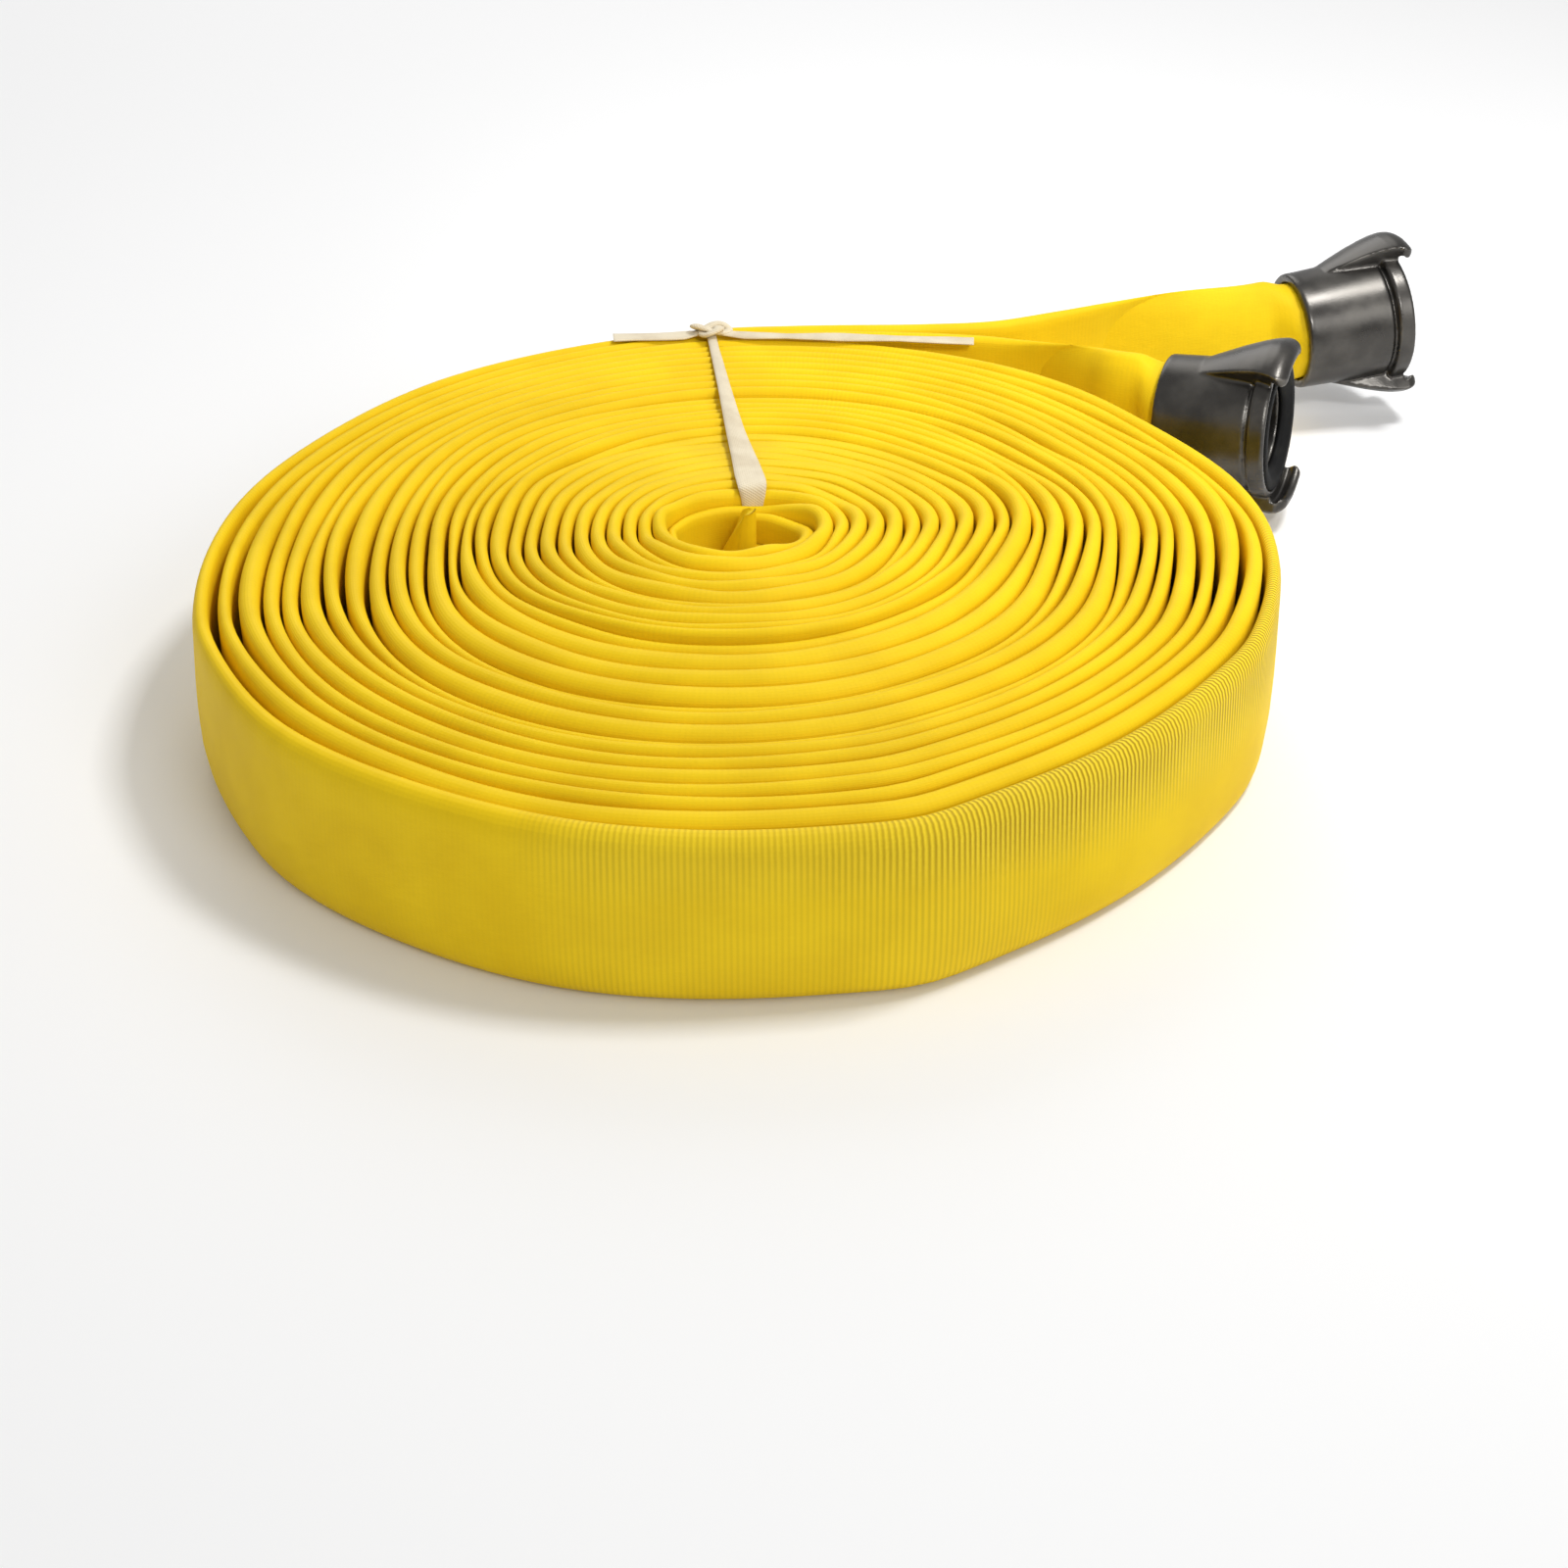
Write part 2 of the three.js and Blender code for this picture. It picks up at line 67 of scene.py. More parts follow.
# ---- Camera ---------------------------------------------------------------------------------------

CAMERA_AT = (0, -899.6, 498.4)
CAMERA_DOWN = math.radians(31.61)
CAMERA_RIGHT = math.radians(1.06)
CAMERA_LENS = 55.67


def make_camera():
    data = bpy.data.cameras.new("camera")
    data.sensor_width = 36
    data.lens = CAMERA_LENS
    data.clip_start = 0.01
    data.clip_end = 50
    camera = bpy.data.objects.new("camera", data)
    camera.location = place(CAMERA_AT)
    camera.rotation_euler = (math.pi / 2 - CAMERA_DOWN, 0, -CAMERA_RIGHT)
    bpy.context.scene.collection.objects.link(camera)
    bpy.context.scene.camera = camera


# ---- Meshes ---------------------------------------------------------------------------------------


def smoothstep(x, low, high):
    t = np.clip((np.asarray(x, float) - low) / (high - low), 0, 1)
    return t * t * (3 - 2 * t)


def bump(x, middle, width):
    """A smooth hill of height 1, which falls to half at width / 2 from its middle."""
    return np.exp(-2.77 * ((np.asarray(x, float) - middle) / width) ** 2)


def distances(points, closed=False):
    """How far along the line through the points each of them lies; a closed line ends where it began."""
    points = np.asarray(points, float)
    if closed:
        points = np.concatenate([points, points[:1]])
    return np.concatenate([[0], np.cumsum(np.linalg.norm(np.diff(points, axis=0), axis=1))])


def build(name, points, faces, uvs=None, attributes=None):
    """A mesh object from points in millimetres; uvs has one pair for each corner of each face."""
    mesh = bpy.data.meshes.new(name)
    centre = np.array(ROLL_CENTRE)
    mesh.from_pydata((np.asarray(points, float) * MM + centre).tolist(), [], faces)
    if uvs is not None:
        layer = mesh.uv_layers.new(name="cloth")
        layer.data.foreach_set("uv", np.asarray(uvs, np.float32).ravel())
    for key, values in (attributes or {}).items():
        attribute = mesh.attributes.new(key, "FLOAT", "POINT")
        attribute.data.foreach_set("value", np.asarray(values, np.float32))
    mesh.polygons.foreach_set("use_smooth", [True] * len(mesh.polygons))
    mesh.update()
    piece = bpy.data.objects.new(name, mesh)
    bpy.context.scene.collection.objects.link(piece)
    return piece


def sweep(rings, lengths, girths, cap_start=True, cap_end=True):
    """Points, faces and corner uvs of a tube through rings; lengths and girths are in metres."""
    rings = np.asarray(rings, float)
    count, sides = rings.shape[:2]
    faces, uvs = [], []
    for i in range(count - 1):
        low, high = lengths[i], lengths[i + 1]
        for j in range(sides):
            k = (j + 1) % sides
            faces.append((i * sides + j, i * sides + k, (i + 1) * sides + k, (i + 1) * sides + j))
            uvs += [(low, girths[j]), (low, girths[j + 1]), (high, girths[j + 1]), (high, girths[j])]
    if cap_start:
        faces.append(tuple(range(sides - 1, -1, -1)))
        uvs += [(lengths[0], girths[j]) for j in range(sides - 1, -1, -1)]
    if cap_end:
        faces.append(tuple(range((count - 1) * sides, count * sides)))
        uvs += [(lengths[-1], girths[j]) for j in range(sides)]
    return rings.reshape(-1, 3), faces, uvs


def waves(seed, periods, count):
    """Smooth noise of about height 1: count sine waves with periods between the two given."""
    random = np.random.RandomState(seed)
    spans = random.uniform(*periods, count)
    phases = random.uniform(0, 2 * math.pi, count)

    def noise(x):
        x = np.asarray(x, float)[..., None]
        return np.sin(2 * math.pi * x / spans + phases).sum(-1) * math.sqrt(2 / count) * 0.7

    return noise


# ---- The windings ---------------------------------------------------------------------------------

HOSE_WIDTH = 66.0
ROLL_RADIUS = 225.0
ROLL_OVAL = -0.03
ROLL_SKEW = 0.028
STRAND_STEP = 14.4  # how far the roll's edge steps in where the ends leave
EYE_CENTRE = np.array((-1.75, 12.25))
EYE_RADII = np.array((32.25, 30.25))
LAYERS = 26  # strands outside the edge of the eye, at the back
TURNS = (14, 13)  # of each of the two strands
STEPS = 160  # of a turn
CLEARANCE = 0.25  # between strands
SEAM_TURN = 3.6  # degrees past the back, where the windings end and the free ends begin
FOLD_TURNS = (318, 350)  # of the last turn of each strand, where the fold between them begins
INNER_SPACING = 5.2  # of the strands that have sunk into the eye
BACK_ANGLE = 90.0
FLATTER = 3.0  # how far the front left of the outermost strand lies inside the smooth outline
CROWN_HEIGHT = 4.6
WALL_BULGE = 2.2
WALL_SHOULDER = 2.6
FRONT_SHOULDER = 3.6
TOP_WANDER = 0.9  # how far the strands' tops go up and down
# Where the outermost strands are bent more sharply: angle in degrees, how far out in mm, half width
CORNERS = [(222, 3.6, 11), (285, 7.2, 7), (333, 3.6, 9), (355, 0.8, 9), (200, 1.5, 7)]

# At the front some strands have slipped down between their neighbours, which spread over them: how wide
# each strand lies there next to the others, and how far the slipped ones have sunk in mm
FRONT_WIDTHS = [
    1.45, 1.35, 0.9, 0.9, 1.15, 0.9, 0.9, 0.6, 1.4, 1.05, 0.65, 1.5, 1.4,
    1.5, 0.9, 0.7, 0.6, 1.0, 0.95, 0.65, 1.2, 1.0, 0.95, 0.65, 1.2, 0.8,
]
SUNK = {7: 2.8, 10: 2.8, 14: 3.4, 16: 0.8, 19: 2.8, 23: 2.4}

# At the sides the widths wander along each of the two strands
UNEVEN = [waves(61, (0.16, 0.5), 8), waves(67, (0.16, 0.5), 8)]

# Places where neighbouring strands part: the gap's number from the outside, the turn from the back
# anticlockwise in degrees, how far round it reaches, and how wide it opens
GAPS = [
    (1, 104, 46, 4.6), (2, 100, 50, 2.8), (4, 102, 60, 1.6), (6, 108, 44, 1.2), (7, 104, 54, 2.2),
    (8, 102, 52, 2.6), (11, 92, 46, 2.1), (12, 104, 44, 1.3), (13, 98, 60, 1.2), (15, 88, 46, 1.4),
    (17, 92, 60, 1.5), (19, 98, 54, 1.2), (21, 100, 44, 1.0), (23, 104, 54, 1.0),
    (2, 262, 30, 4.2), (4, 260, 34, 2.6), (5, 250, 40, 1.0), (7, 258, 44, 1.9), (10, 262, 48, 1.9),
    (11, 262, 44, 1.6), (14, 256, 50, 1.2), (16, 262, 54, 1.1), (18, 258, 44, 1.2), (20, 262, 50, 1.1),
    (22, 256, 44, 1.0),
]


def outline(angle):
    """The roll's outer edge in the plan, without the step where the ends leave."""
    radius = ROLL_RADIUS * (1 + ROLL_OVAL * np.cos(2 * angle) + ROLL_SKEW * np.sin(2 * angle))
    return radius[..., None] * np.stack([np.cos(angle), np.sin(angle)], -1)


def corner_push(angle):
    """How far the outermost strand stands off the smooth outline, where it is kinked or lies flatter."""
    degrees = np.degrees(angle) % 360
    total = np.zeros_like(degrees)
    for middle, size, width in CORNERS:
        away = (degrees - middle + 180) % 360 - 180
        total = total + size / (1 + (away / width) ** 2)
    flat = smoothstep(degrees, 190, 225) * (1 - smoothstep(degrees, 236, 258))
    return (total - FLATTER * flat) * smoothstep(np.abs((degrees - 90 + 180) % 360 - 180), 20, 60)


def eye_edge(angle):
    """The eye's edge in the plan."""
    return EYE_CENTRE + EYE_RADII * np.stack([np.cos(angle), np.sin(angle)], -1)


def front_share(turn):
    """1 at the front of the roll, where some strands have slipped down, and 0 at the sides and back."""
    return smoothstep(turn, 92, 150) * (1 - smoothstep(turn, 222, 286))


def side_share(turn):
    """1 at the sides of the roll, where the strands' widths wander, and 0 at the front and back."""
    return smoothstep(turn, 12, 70) * (1 - smoothstep(turn, 280, 340)) * (1 - front_share(turn))


def make_layout():
    """For each step of a turn: the strands' edges as shares of the way in, and the gaps between them."""
    turn = np.linspace(0, 360, STEPS + 1)
    angle = np.radians(BACK_ANGLE + turn)
    outer, inner = outline(angle), eye_edge(angle)
    depth = np.linalg.norm(outer - inner, axis=1)
    numbers = np.arange(LAYERS + 4)
    gaps = np.zeros((STEPS + 1, len(numbers)))
    for number, middle, width, size in GAPS:
        gaps[:, number] += size * bump(turn, middle, width)
    chains = [waves(11, (0.11, 0.5), 9), waves(23, (0.11, 0.5), 9)]
    for number in range(1, LAYERS + 1):
        along = turn / 360 + (number - number % 2) / 2
        loose = 0.35 * (1 + chains[number % 2](along))
        gaps[:, number] += loose * smoothstep(np.sin(np.radians(turn / 2)), 0.15, 0.6)
    gaps *= (smoothstep(turn, 6, 40) * (1 - smoothstep(turn, 322, 352)))[:, None]
    wrapped = np.degrees(np.angle(np.exp(1j * angle)))
    step = STRAND_STEP * smoothstep(wrapped, 0, 36) * (turn > 180)
    start = step / depth
    end = 1 + 2 * (turn / 360) * INNER_SPACING / depth
    beyond = INNER_SPACING / depth[:, None]
    widths = 1 + (np.array(FRONT_WIDTHS) / np.mean(FRONT_WIDTHS) - 1) * front_share(turn)[:, None]
    for number in range(LAYERS):
        along = turn / 360 + (number - number % 2) / 2
        size = 0.24 - 0.2 * smoothstep(number, 13, 19)
        widths[:, number] *= 1 + size * side_share(turn) * UNEVEN[number % 2](along)
    ranks = np.concatenate([np.zeros((STEPS + 1, 1)), np.cumsum(widths, 1)], 1)
    ranks = ranks[:, np.minimum(numbers, LAYERS)] / ranks[:, -1:]
    even = start[:, None] + (end - start)[:, None] * ranks
    even = even + np.maximum(numbers - LAYERS, 0) * beyond
    after = np.minimum(numbers + 2, LAYERS) / LAYERS + np.maximum(numbers + 2 - LAYERS, 0) * beyond
    blend = smoothstep(turn, 285, 360)[:, None]
    edges = (1 - blend) * even + blend * after
    passed = np.cumsum(gaps, 1) - gaps / 2
    total = gaps.sum(1)[:, None]
    edges = edges + (passed - total * numbers / LAYERS) / depth[:, None]
    return turn, outer, inner, depth, edges, gaps


def crown_height(layer, turn):
    """How far a strand's top stands above 66 mm: the inner strands tip back, and a few stand proud."""
    back = np.cos(np.radians(turn))
    core = smoothstep(layer, 14.6 + 1.0 * back, 15.6 + 1.0 * back)
    lift = core * (-0.3 - 2.9 * np.clip(back, 0, 1) + 3.2 * np.clip(-back, 0, 1) ** 1.3)
    lift = lift + smoothstep(layer, 16.6, 25.5) * (1.6 * np.clip(back, 0, 1) - 2.6 * np.clip(-back, 0, 1))
    shelf = smoothstep(layer, 9.9, 10.7) * (1 - smoothstep(layer, 11, 16))
    lift = lift - 2.6 * shelf * np.clip(back, 0, 1) ** 1.5
    return lift


def eye_drop(chain, layer):
    """How far the innermost strands have sunk into the eye."""
    if chain:
        return 6.0 * smoothstep(layer, 26.1, 26.45)
    return 5.7 * smoothstep(layer, 25.62, 25.96) + 14 * smoothstep(layer, 27.0, 27.45)


def top_lift(chain, number, turn, wander):
    """How far a strand's top is above the hose's flat width, number turns and turn degrees from its end."""
    strand, along = 2 * number + chain, number + turn / 360
    layer = strand + 2 * turn / 360
    back = max(0.0, math.cos(math.radians(turn)))
    front = float(front_share(turn))
    lift = float(crown_height(min(layer, LAYERS), turn) - eye_drop(chain, layer))
    lift += TOP_WANDER * float(wander(along)) * (1 - 0.6 * back) * (1 - 0.4 * front)
    lift -= SUNK.get(strand, 0) * front
    narrow = float(side_share(turn) * np.clip(-UNEVEN[chain](along), 0, 1.2))
    return lift - (1.8 - 1.2 * float(smoothstep(strand, 13, 19))) * narrow


def strand_profile(thickness, top, bottom, crown, bulge, shoulder=0.0):
    """A standing strand's section, from the outer side's foot over the top and back: out and up in mm.

    The shoulder is how much further the top is rounded down on the outer side.
    """
    half = thickness / 2
    foot = min(half, 3.0)
    points = []
    for share in (0.04, 0.2, 0.4, 0.6, 0.8, 0.96):
        up = bottom + foot + share * (top - crown - shoulder - bottom - foot)
        points.append((half + bulge * math.sin(math.pi * share**0.6), up))
    for degrees in (14, 38, 64, 90, 116, 142, 166):
        angle = math.radians(degrees)
        fall = crown + shoulder if degrees < 90 else crown
        points.append((half * math.cos(angle), top - fall + fall * math.sin(angle)))
    for share in (0.96, 0.8, 0.5, 0.2, 0.04):
        points.append((-half, bottom + foot + share * (top - crown - bottom - foot)))
    for degrees in (205, 245, 295, 335):
        angle = math.radians(degrees)
        points.append((half * math.cos(angle), bottom + foot + foot * math.sin(angle)))
    return points


TAPE_EYE = np.array((3.0, 42.0))
TAPE_WALL = np.array((-15.6, 231.6))
TAPE_ROOM = 1.4


def tape_groove(point):
    """How far the hose is lifted off the ground where the tape runs beneath it."""
    run = TAPE_WALL - TAPE_EYE
    share = np.clip(np.dot(point - TAPE_EYE, run) / np.dot(run, run), 0, 1)
    away = np.linalg.norm(point - TAPE_EYE - share * run)
    return TAPE_ROOM * float(1 - smoothstep(away, 7, 12))


def make_windings(chain, layout):
    """One of the two strands, from where it leaves the roll to the fold in the eye."""
    turn, outer, inner, depth, edges, gaps = layout
    wander = waves(41 + chain, (0.09, 0.6), 10)
    pushes = corner_push(np.radians(BACK_ANGLE + turn))
    centres, profiles, turns = [], [], []
    for number in range(TURNS[chain]):
        strand = 2 * number + chain
        for step in range(STEPS):
            at = turn[step]
            past_the_fold = number == TURNS[chain] - 1 and at > FOLD_TURNS[chain]
            if number == 0 and at < SEAM_TURN or past_the_fold:
                continue
            middle = (edges[step, strand] + edges[step, strand + 1]) / 2
            width = (edges[step, strand + 1] - edges[step, strand]) * depth[step]
            width -= (gaps[step, strand] + gaps[step, strand + 1]) / 2 + CLEARANCE
            centre = outer[step] + (inner[step] - outer[step]) * middle
            centre = centre + outer[step] / np.linalg.norm(outer[step]) * pushes[step] * (1 - middle) ** 5
            layer = strand + 2 * at / 360
            back = max(0.0, math.cos(math.radians(at)))
            smoothed = float(back**1.2 * smoothstep(layer, 15.5, 17) * (1 - smoothstep(layer, 23.6, 24.6)))
            crown = min(width * 0.55, CROWN_HEIGHT) * (1 - 0.9 * smoothed)
            wall = float(1 - smoothstep(layer, 0.9, 2.0))
            turned = float(smoothstep(at, 95, 130) * (1 - smoothstep(at, 250, 285)))
            shoulder = wall * (WALL_SHOULDER + FRONT_SHOULDER * turned)
            top, bottom = HOSE_WIDTH + top_lift(chain, number, at, wander), tape_groove(centre)
            profiles.append(strand_profile(width, top, bottom, crown, WALL_BULGE * wall, shoulder))
            centres.append(centre)
            turns.append(number + at / 360)
    centres = np.array(centres)
    tangents = np.gradient(centres, axis=0)
    tangents /= np.linalg.norm(tangents, axis=1)[:, None]
    out = np.stack([tangents[:, 1], -tangents[:, 0]], -1)  # anticlockwise inwards, so out is to the right
    profiles = np.array(profiles)
    rings = np.empty((*profiles.shape[:2], 3))
    rings[..., :2] = centres[:, None] + out[:, None] * profiles[..., :1]
    rings[..., 2] = profiles[..., 1]
    points, faces, uvs = sweep(rings, distances(centres) * MM, distances(profiles[0], True) * MM)
    outermost = (1 - smoothstep(turns, 0.97, 1.0)) * (chain == 0)
    attributes = {"outermost": np.repeat(outermost, rings.shape[1])}
    name = "hose_windings_outer" if chain == 0 else "hose_windings_inner"
    return build(name, points, faces, uvs, attributes), rings


# ---- The free ends --------------------------------------------------------------------------------

JACKET_WALL = 2.0
HOSE_ROUND = 24.2  # outer radius where the hose has opened out
HOSE_IN_BOWL = 31.0  # how far the hose reaches into the coupling
FLAT_THICKNESS = 7.0
PUFFED_HEIGHT = 58.0  # just outside the bowl, before the hose gathers into its mouth
PUFFED_THICKNESS = 25.0
SHOULDER = 15.0  # length over which it gathers
TAIL_STEP = 2.6
SETTLE = 60.0  # length over which a strand of the roll becomes a flat free end
LINER_WALL = 1.5
LEAST_HOLLOW = 1.5  # half the width of the narrowest opening that is modelled
ENDS = {
    "outer": {
        "lead": [(0.3, 228.1, 33.2), (25, 228.1, 33.2)],
        "route": [
            (50, 228.3, 33.2), (90, 228.8, 33.2), (126, 231.2, 33.8),
            (156, 238.4, 36), (187, 248, 39), (220, 257.6, 42.2),
        ],
        "mouth": (280, 271, 46.2), "azimuth": 11, "tilt": 6.5, "roll": -3, "opening": 150,
        "bend": ((15, 228.5, 33.2), (85, 228.8, 33.2)),
    },
    "inner": {
        "lead": [(0.3, 221.2, 33.2), (40, 220.6, 33.2), (80, 218.2, 33.2)],
        "route": [(118, 212.6, 33.2), (134, 207.4, 33.8), (150, 197.4, 37), (168, 185, 41)],
        "mouth": (200.5, 165.8, 45.4), "azimuth": -24, "tilt": 3.6, "roll": 15, "opening": 100,
        "bend": ((95, 217, 33.2), (150, 197.4, 33.2)),
    },
}


def smooth_route(points, count):
    """A centripetal Catmull-Rom curve through the points, count steps for each span."""
    p = np.asarray(points, float)
    p = np.concatenate([[2 * p[0] - p[1]], p, [2 * p[-1] - p[-2]]])
    out = []
    for i in range(1, len(p) - 2):
        a, b, c, d = p[i - 1 : i + 3]
        e, f, g = (max(np.linalg.norm(y - x) ** 0.5, 1e-4) for x, y in ((a, b), (b, c), (c, d)))
        start = ((b - a) / e - (c - a) / (e + f) + (c - b) / f) * f
        end = ((c - b) / f - (d - b) / (f + g) + (d - c) / g) * f
        for t in np.arange(count) / count:
            second, third = 3 * (c - b) - 2 * start - end, 2 * (b - c) + start + end
            out.append(b + start * t + second * t**2 + third * t**3)
    return np.array([*out, p[-2]])


def spaced(line, step):
    """The same line with points a step apart."""
    lengths = distances(line)
    at = np.linspace(0, lengths[-1], max(2, round(lengths[-1] / step)) + 1)
    return np.stack([np.interp(at, lengths, line[:, i]) for i in range(3)], -1), at


def coupling_turn(end):
    """How a free end's coupling is turned from lying along x with its claws up and down."""
    return (
        Matrix.Rotation(math.radians(end["azimuth"]), 3, "Z")
        @ Matrix.Rotation(math.radians(-end["tilt"]), 3, "Y")
        @ Matrix.Rotation(math.radians(end["roll"]), 3, "X")
    )


def end_section(flat, to_mouth, opening):
    """A free end's section, from a flat hose to a round one in the bowl: across and up from its middle."""
    opened = float(np.clip(1 - to_mouth / opening, 0, 1))
    ease = float(smoothstep(opened, 0, 1))
    gather = float(smoothstep(1 - max(to_mouth, 0) / SHOULDER, 0, 1))
    steps = np.linalg.norm(np.diff(np.concatenate([flat, flat[:1]]), axis=0), axis=1)
    share = np.concatenate([[0], np.cumsum(steps)[:-1]]) / steps.sum()
    angle = math.pi / 2 - 2 * math.pi * (share - share[np.argmax(flat[:, 1])])
    around = np.stack([np.cos(angle), np.sin(angle)], -1)
    oval = np.sign(around) * np.abs(around) ** (0.8, 0.9) * (PUFFED_THICKNESS / 2, PUFFED_HEIGHT / 2)
    section = flat + (oval - flat) * ease
    return section + (HOSE_ROUND * around - section) * gather, opened


def make_tail(name, first_ring, insets=(0, JACKET_WALL), least=0.35):
    """A skin of a free end, flat under the tape's knot and round in its coupling.

    It lies between two insets from the hose's outside. The inner one starts where the hose is opened more
    than the least share. A skin whose outer inset is 0 starts at the windings, and closes there.
    """
    end = ENDS[name]
    axis = np.array(coupling_turn(end) @ Vector((1, 0, 0)))
    mouth = np.array(end["mouth"], float)
    start = first_ring.mean(0)
    start[2] = HOSE_WIDTH / 2
    line = smooth_route(
        [start, *end["lead"], *end["route"], mouth - 24 * axis, mouth, mouth + HOSE_IN_BOWL * axis], 24
    )
    line, at = spaced(line, TAIL_STEP)
    mouth_at = at[-1] - HOSE_IN_BOWL
    headings = np.gradient(line, axis=0)
    width = np.linalg.norm(first_ring[0, :2] - first_ring[17, :2])  # from foot to foot
    flat_top = first_ring[:, 2].max()
    skins = [[] for _ in insets]
    kept = []
    for place_at, heading, length in zip(line, headings, at, strict=True):
        settle = float(smoothstep(length, 0, SETTLE))
        thickness = width + (FLAT_THICKNESS - width) * settle
        top = flat_top + (HOSE_WIDTH + 1.2 - flat_top) * settle
        flat = np.array(strand_profile(thickness, top, tape_groove(place_at[:2]), thickness / 2 - 0.1, 0))
        flat = flat[::-1] - (0, HOSE_WIDTH / 2)
        flat[:, 0] *= -1
        section, opened = end_section(flat, mouth_at - length, end["opening"])
        direction = axis if length > mouth_at - 10 else heading / np.linalg.norm(heading) * (1, 1, opened)
        direction = direction / np.linalg.norm(direction)
        side = np.cross(direction, (0, 0, 1))
        side /= np.linalg.norm(side)
        upward = np.cross(side, direction)
        half = np.abs(section).max(0)
        kept.append(opened > least and half[0] > max(insets) + LEAST_HOLLOW)
        for skin, inset in zip(skins, insets, strict=True):
            inner = section * (1 - inset / half)
            skin.append(place_at + inner[:, :1] * side + inner[:, 1:] * upward)
    keep = np.array(kept)
    outer_keep = keep if insets[0] else np.ones_like(keep)
    rings = [*np.array(skins[0])[outer_keep], *np.array(skins[1])[keep][::-1]]
    lengths = np.concatenate([at[outer_keep], at[-1] + (at[-1] - at[keep][::-1])]) * MM
    girths = distances(rings[0], True) * MM
    closed = bool(insets[0])
    points, faces, uvs = sweep(rings, lengths, girths, not closed, not closed)
    if closed:
        sides, last = len(rings[0]), (len(rings) - 1) * len(rings[0])
        for j in range(sides):
            k = (j + 1) % sides
            faces.append((last + j, last + k, k, j))
            uvs += [(0, 0)] * 4
    kind = "liner" if closed else "end"
    return build(f"hose_{name}_{kind}", points, faces, uvs)


# ---- The fold in the eye --------------------------------------------------------------------------

FOLD_ROUTE = [(12.2, 25.2), (9.0, 28.4), (6.0, 30.2), (3.0, 30.6), (0.7, 29.4), (-0.4, 26.4)]
STRAND_THICKNESS = 5.4
FOLD_THICKNESS = 11.2
FOLD_TOP = 46.0
FOLD_NOSE = 5.6
FOLD_CROWN = 2.6
PINCH_TOP = 64.0
PINCH_DEPTH = 20.0
PINCH_CREST = 2.2


def make_fold():
    """The middle of the hose, bent back on itself: its end faces the front, pinched at the top."""
    line = smooth_route([(x, y, 0) for x, y in FOLD_ROUTE], 12)[:, :2]
    headings = np.gradient(line, axis=0)
    headings /= np.linalg.norm(headings, axis=1)[:, None]
    shares = np.linspace(0, 1, len(line))
    stations = list(zip(line, headings, shares, [1.0] * len(line), strict=True))
    for degrees in (18, 36, 54, 70, 82):
        angle = math.radians(degrees)
        beyond = line[-1] + headings[-1] * FOLD_NOSE * math.sin(angle)
        stations.append((beyond, headings[-1], 1.0, math.cos(angle)))
    rings = []
    for centre, heading, share, taper in stations:
        left = np.array((-heading[1], heading[0]))
        pinch = float(smoothstep(share, 0.6, 0.92))
        top = FOLD_TOP + (PINCH_TOP - FOLD_TOP) * float(smoothstep(share, 0.52, 0.82))
        wide = STRAND_THICKNESS + (FOLD_THICKNESS - STRAND_THICKNESS) * float(smoothstep(share, 0.3, 0.75))
        ring = []
        heights = [*np.linspace(4, 36, 5), *np.linspace(40, top - 1.6, 12), top - 0.8, top - 0.25, top]
        for side in (1, -1):
            for up in heights if side == 1 else heights[::-1]:
                crown = math.sqrt(max(0.0, 1 - max(0.0, (up - top + FOLD_CROWN) / FOLD_CROWN) ** 2))
                foot = math.sqrt(max(0.05, 1 - max(0.0, (4.5 - up) / 3.5) ** 2))
                deep = float(np.clip((top - up) / PINCH_DEPTH, 0, 1))
                full = wide * crown
                drawn = (PINCH_CREST + (wide + 1.0) * deep**0.85) * crown
                thickness = (full + (drawn - full) * pinch) * foot
                skew = (wide / 2 - thickness / 2) * pinch
                offset = (skew + side * thickness / 2) * taper + skew * (1 - taper) * 0.5
                ring.append((*(centre + left * offset), up))
        rings.append(ring)
    rings = np.array(rings)[:, ::-1]
    points, faces, uvs = sweep(rings, distances(rings.mean(1)) * MM, distances(rings[0], True) * MM)
    return build("hose_fold", points, faces, uvs)


# ---- The couplings --------------------------------------------------------------------------------

BODY_PROFILE = [  # how far along from the mouth, and the radius
    (0, 28.2), (0.7, 28.9), (2.2, 29.1), (5, 29.1), (42.8, 30.3), (43.6, 30.1), (44.0, 29.3),
    (44.9, 29.2), (45.4, 29.6), (45.7, 32.2), (46.4, 33.0), (52.8, 33.0), (53.7, 32.6), (54, 31.9),
    (54, 30.4), (53.7, 30.1), (49.4, 30.1), (49.4, 19.0), (49.0, 18.7), (34, 18.7), (34, 24.5),
    (1.2, 24.5), (0, 25.4),
]
GASKET_PROFILE = [
    (49.6, 29.9), (53.7, 29.9), (54.3, 29.6), (54.6, 29.0), (54.6, 25.2), (54.3, 24.6), (52.4, 21.4),
    (51.6, 19.4), (49.6, 19.0),
]
CLAW_STATIONS = [  # how far along, the outer and inner radius, and the two edges in degrees from the top
    (13, 27.6, 25.6, -20, 6), (20, 30.3, 26.4, -24, 9), (28, 33.3, 27, -28, 12),
    (36, 36.3, 27, -31, 14), (44, 38.9, 27, -33, 16), (49, 40.2, 30.8, -34, 18),
    (53.4, 40.8, 31, -34, 20), (54.2, 40.8, 35.6, -34, 21),
    (56.0, 40.6, 35.6, -34, 22), (56.8, 40.4, 34.6, -33, 22), (57.6, 40.1, 33.8, -33, 22),
    (59.4, 39.0, 33.6, -31, 21), (60.6, 37.6, 34.2, -28, 19), (61.2, 36.2, 35.2, -25, 17),
]
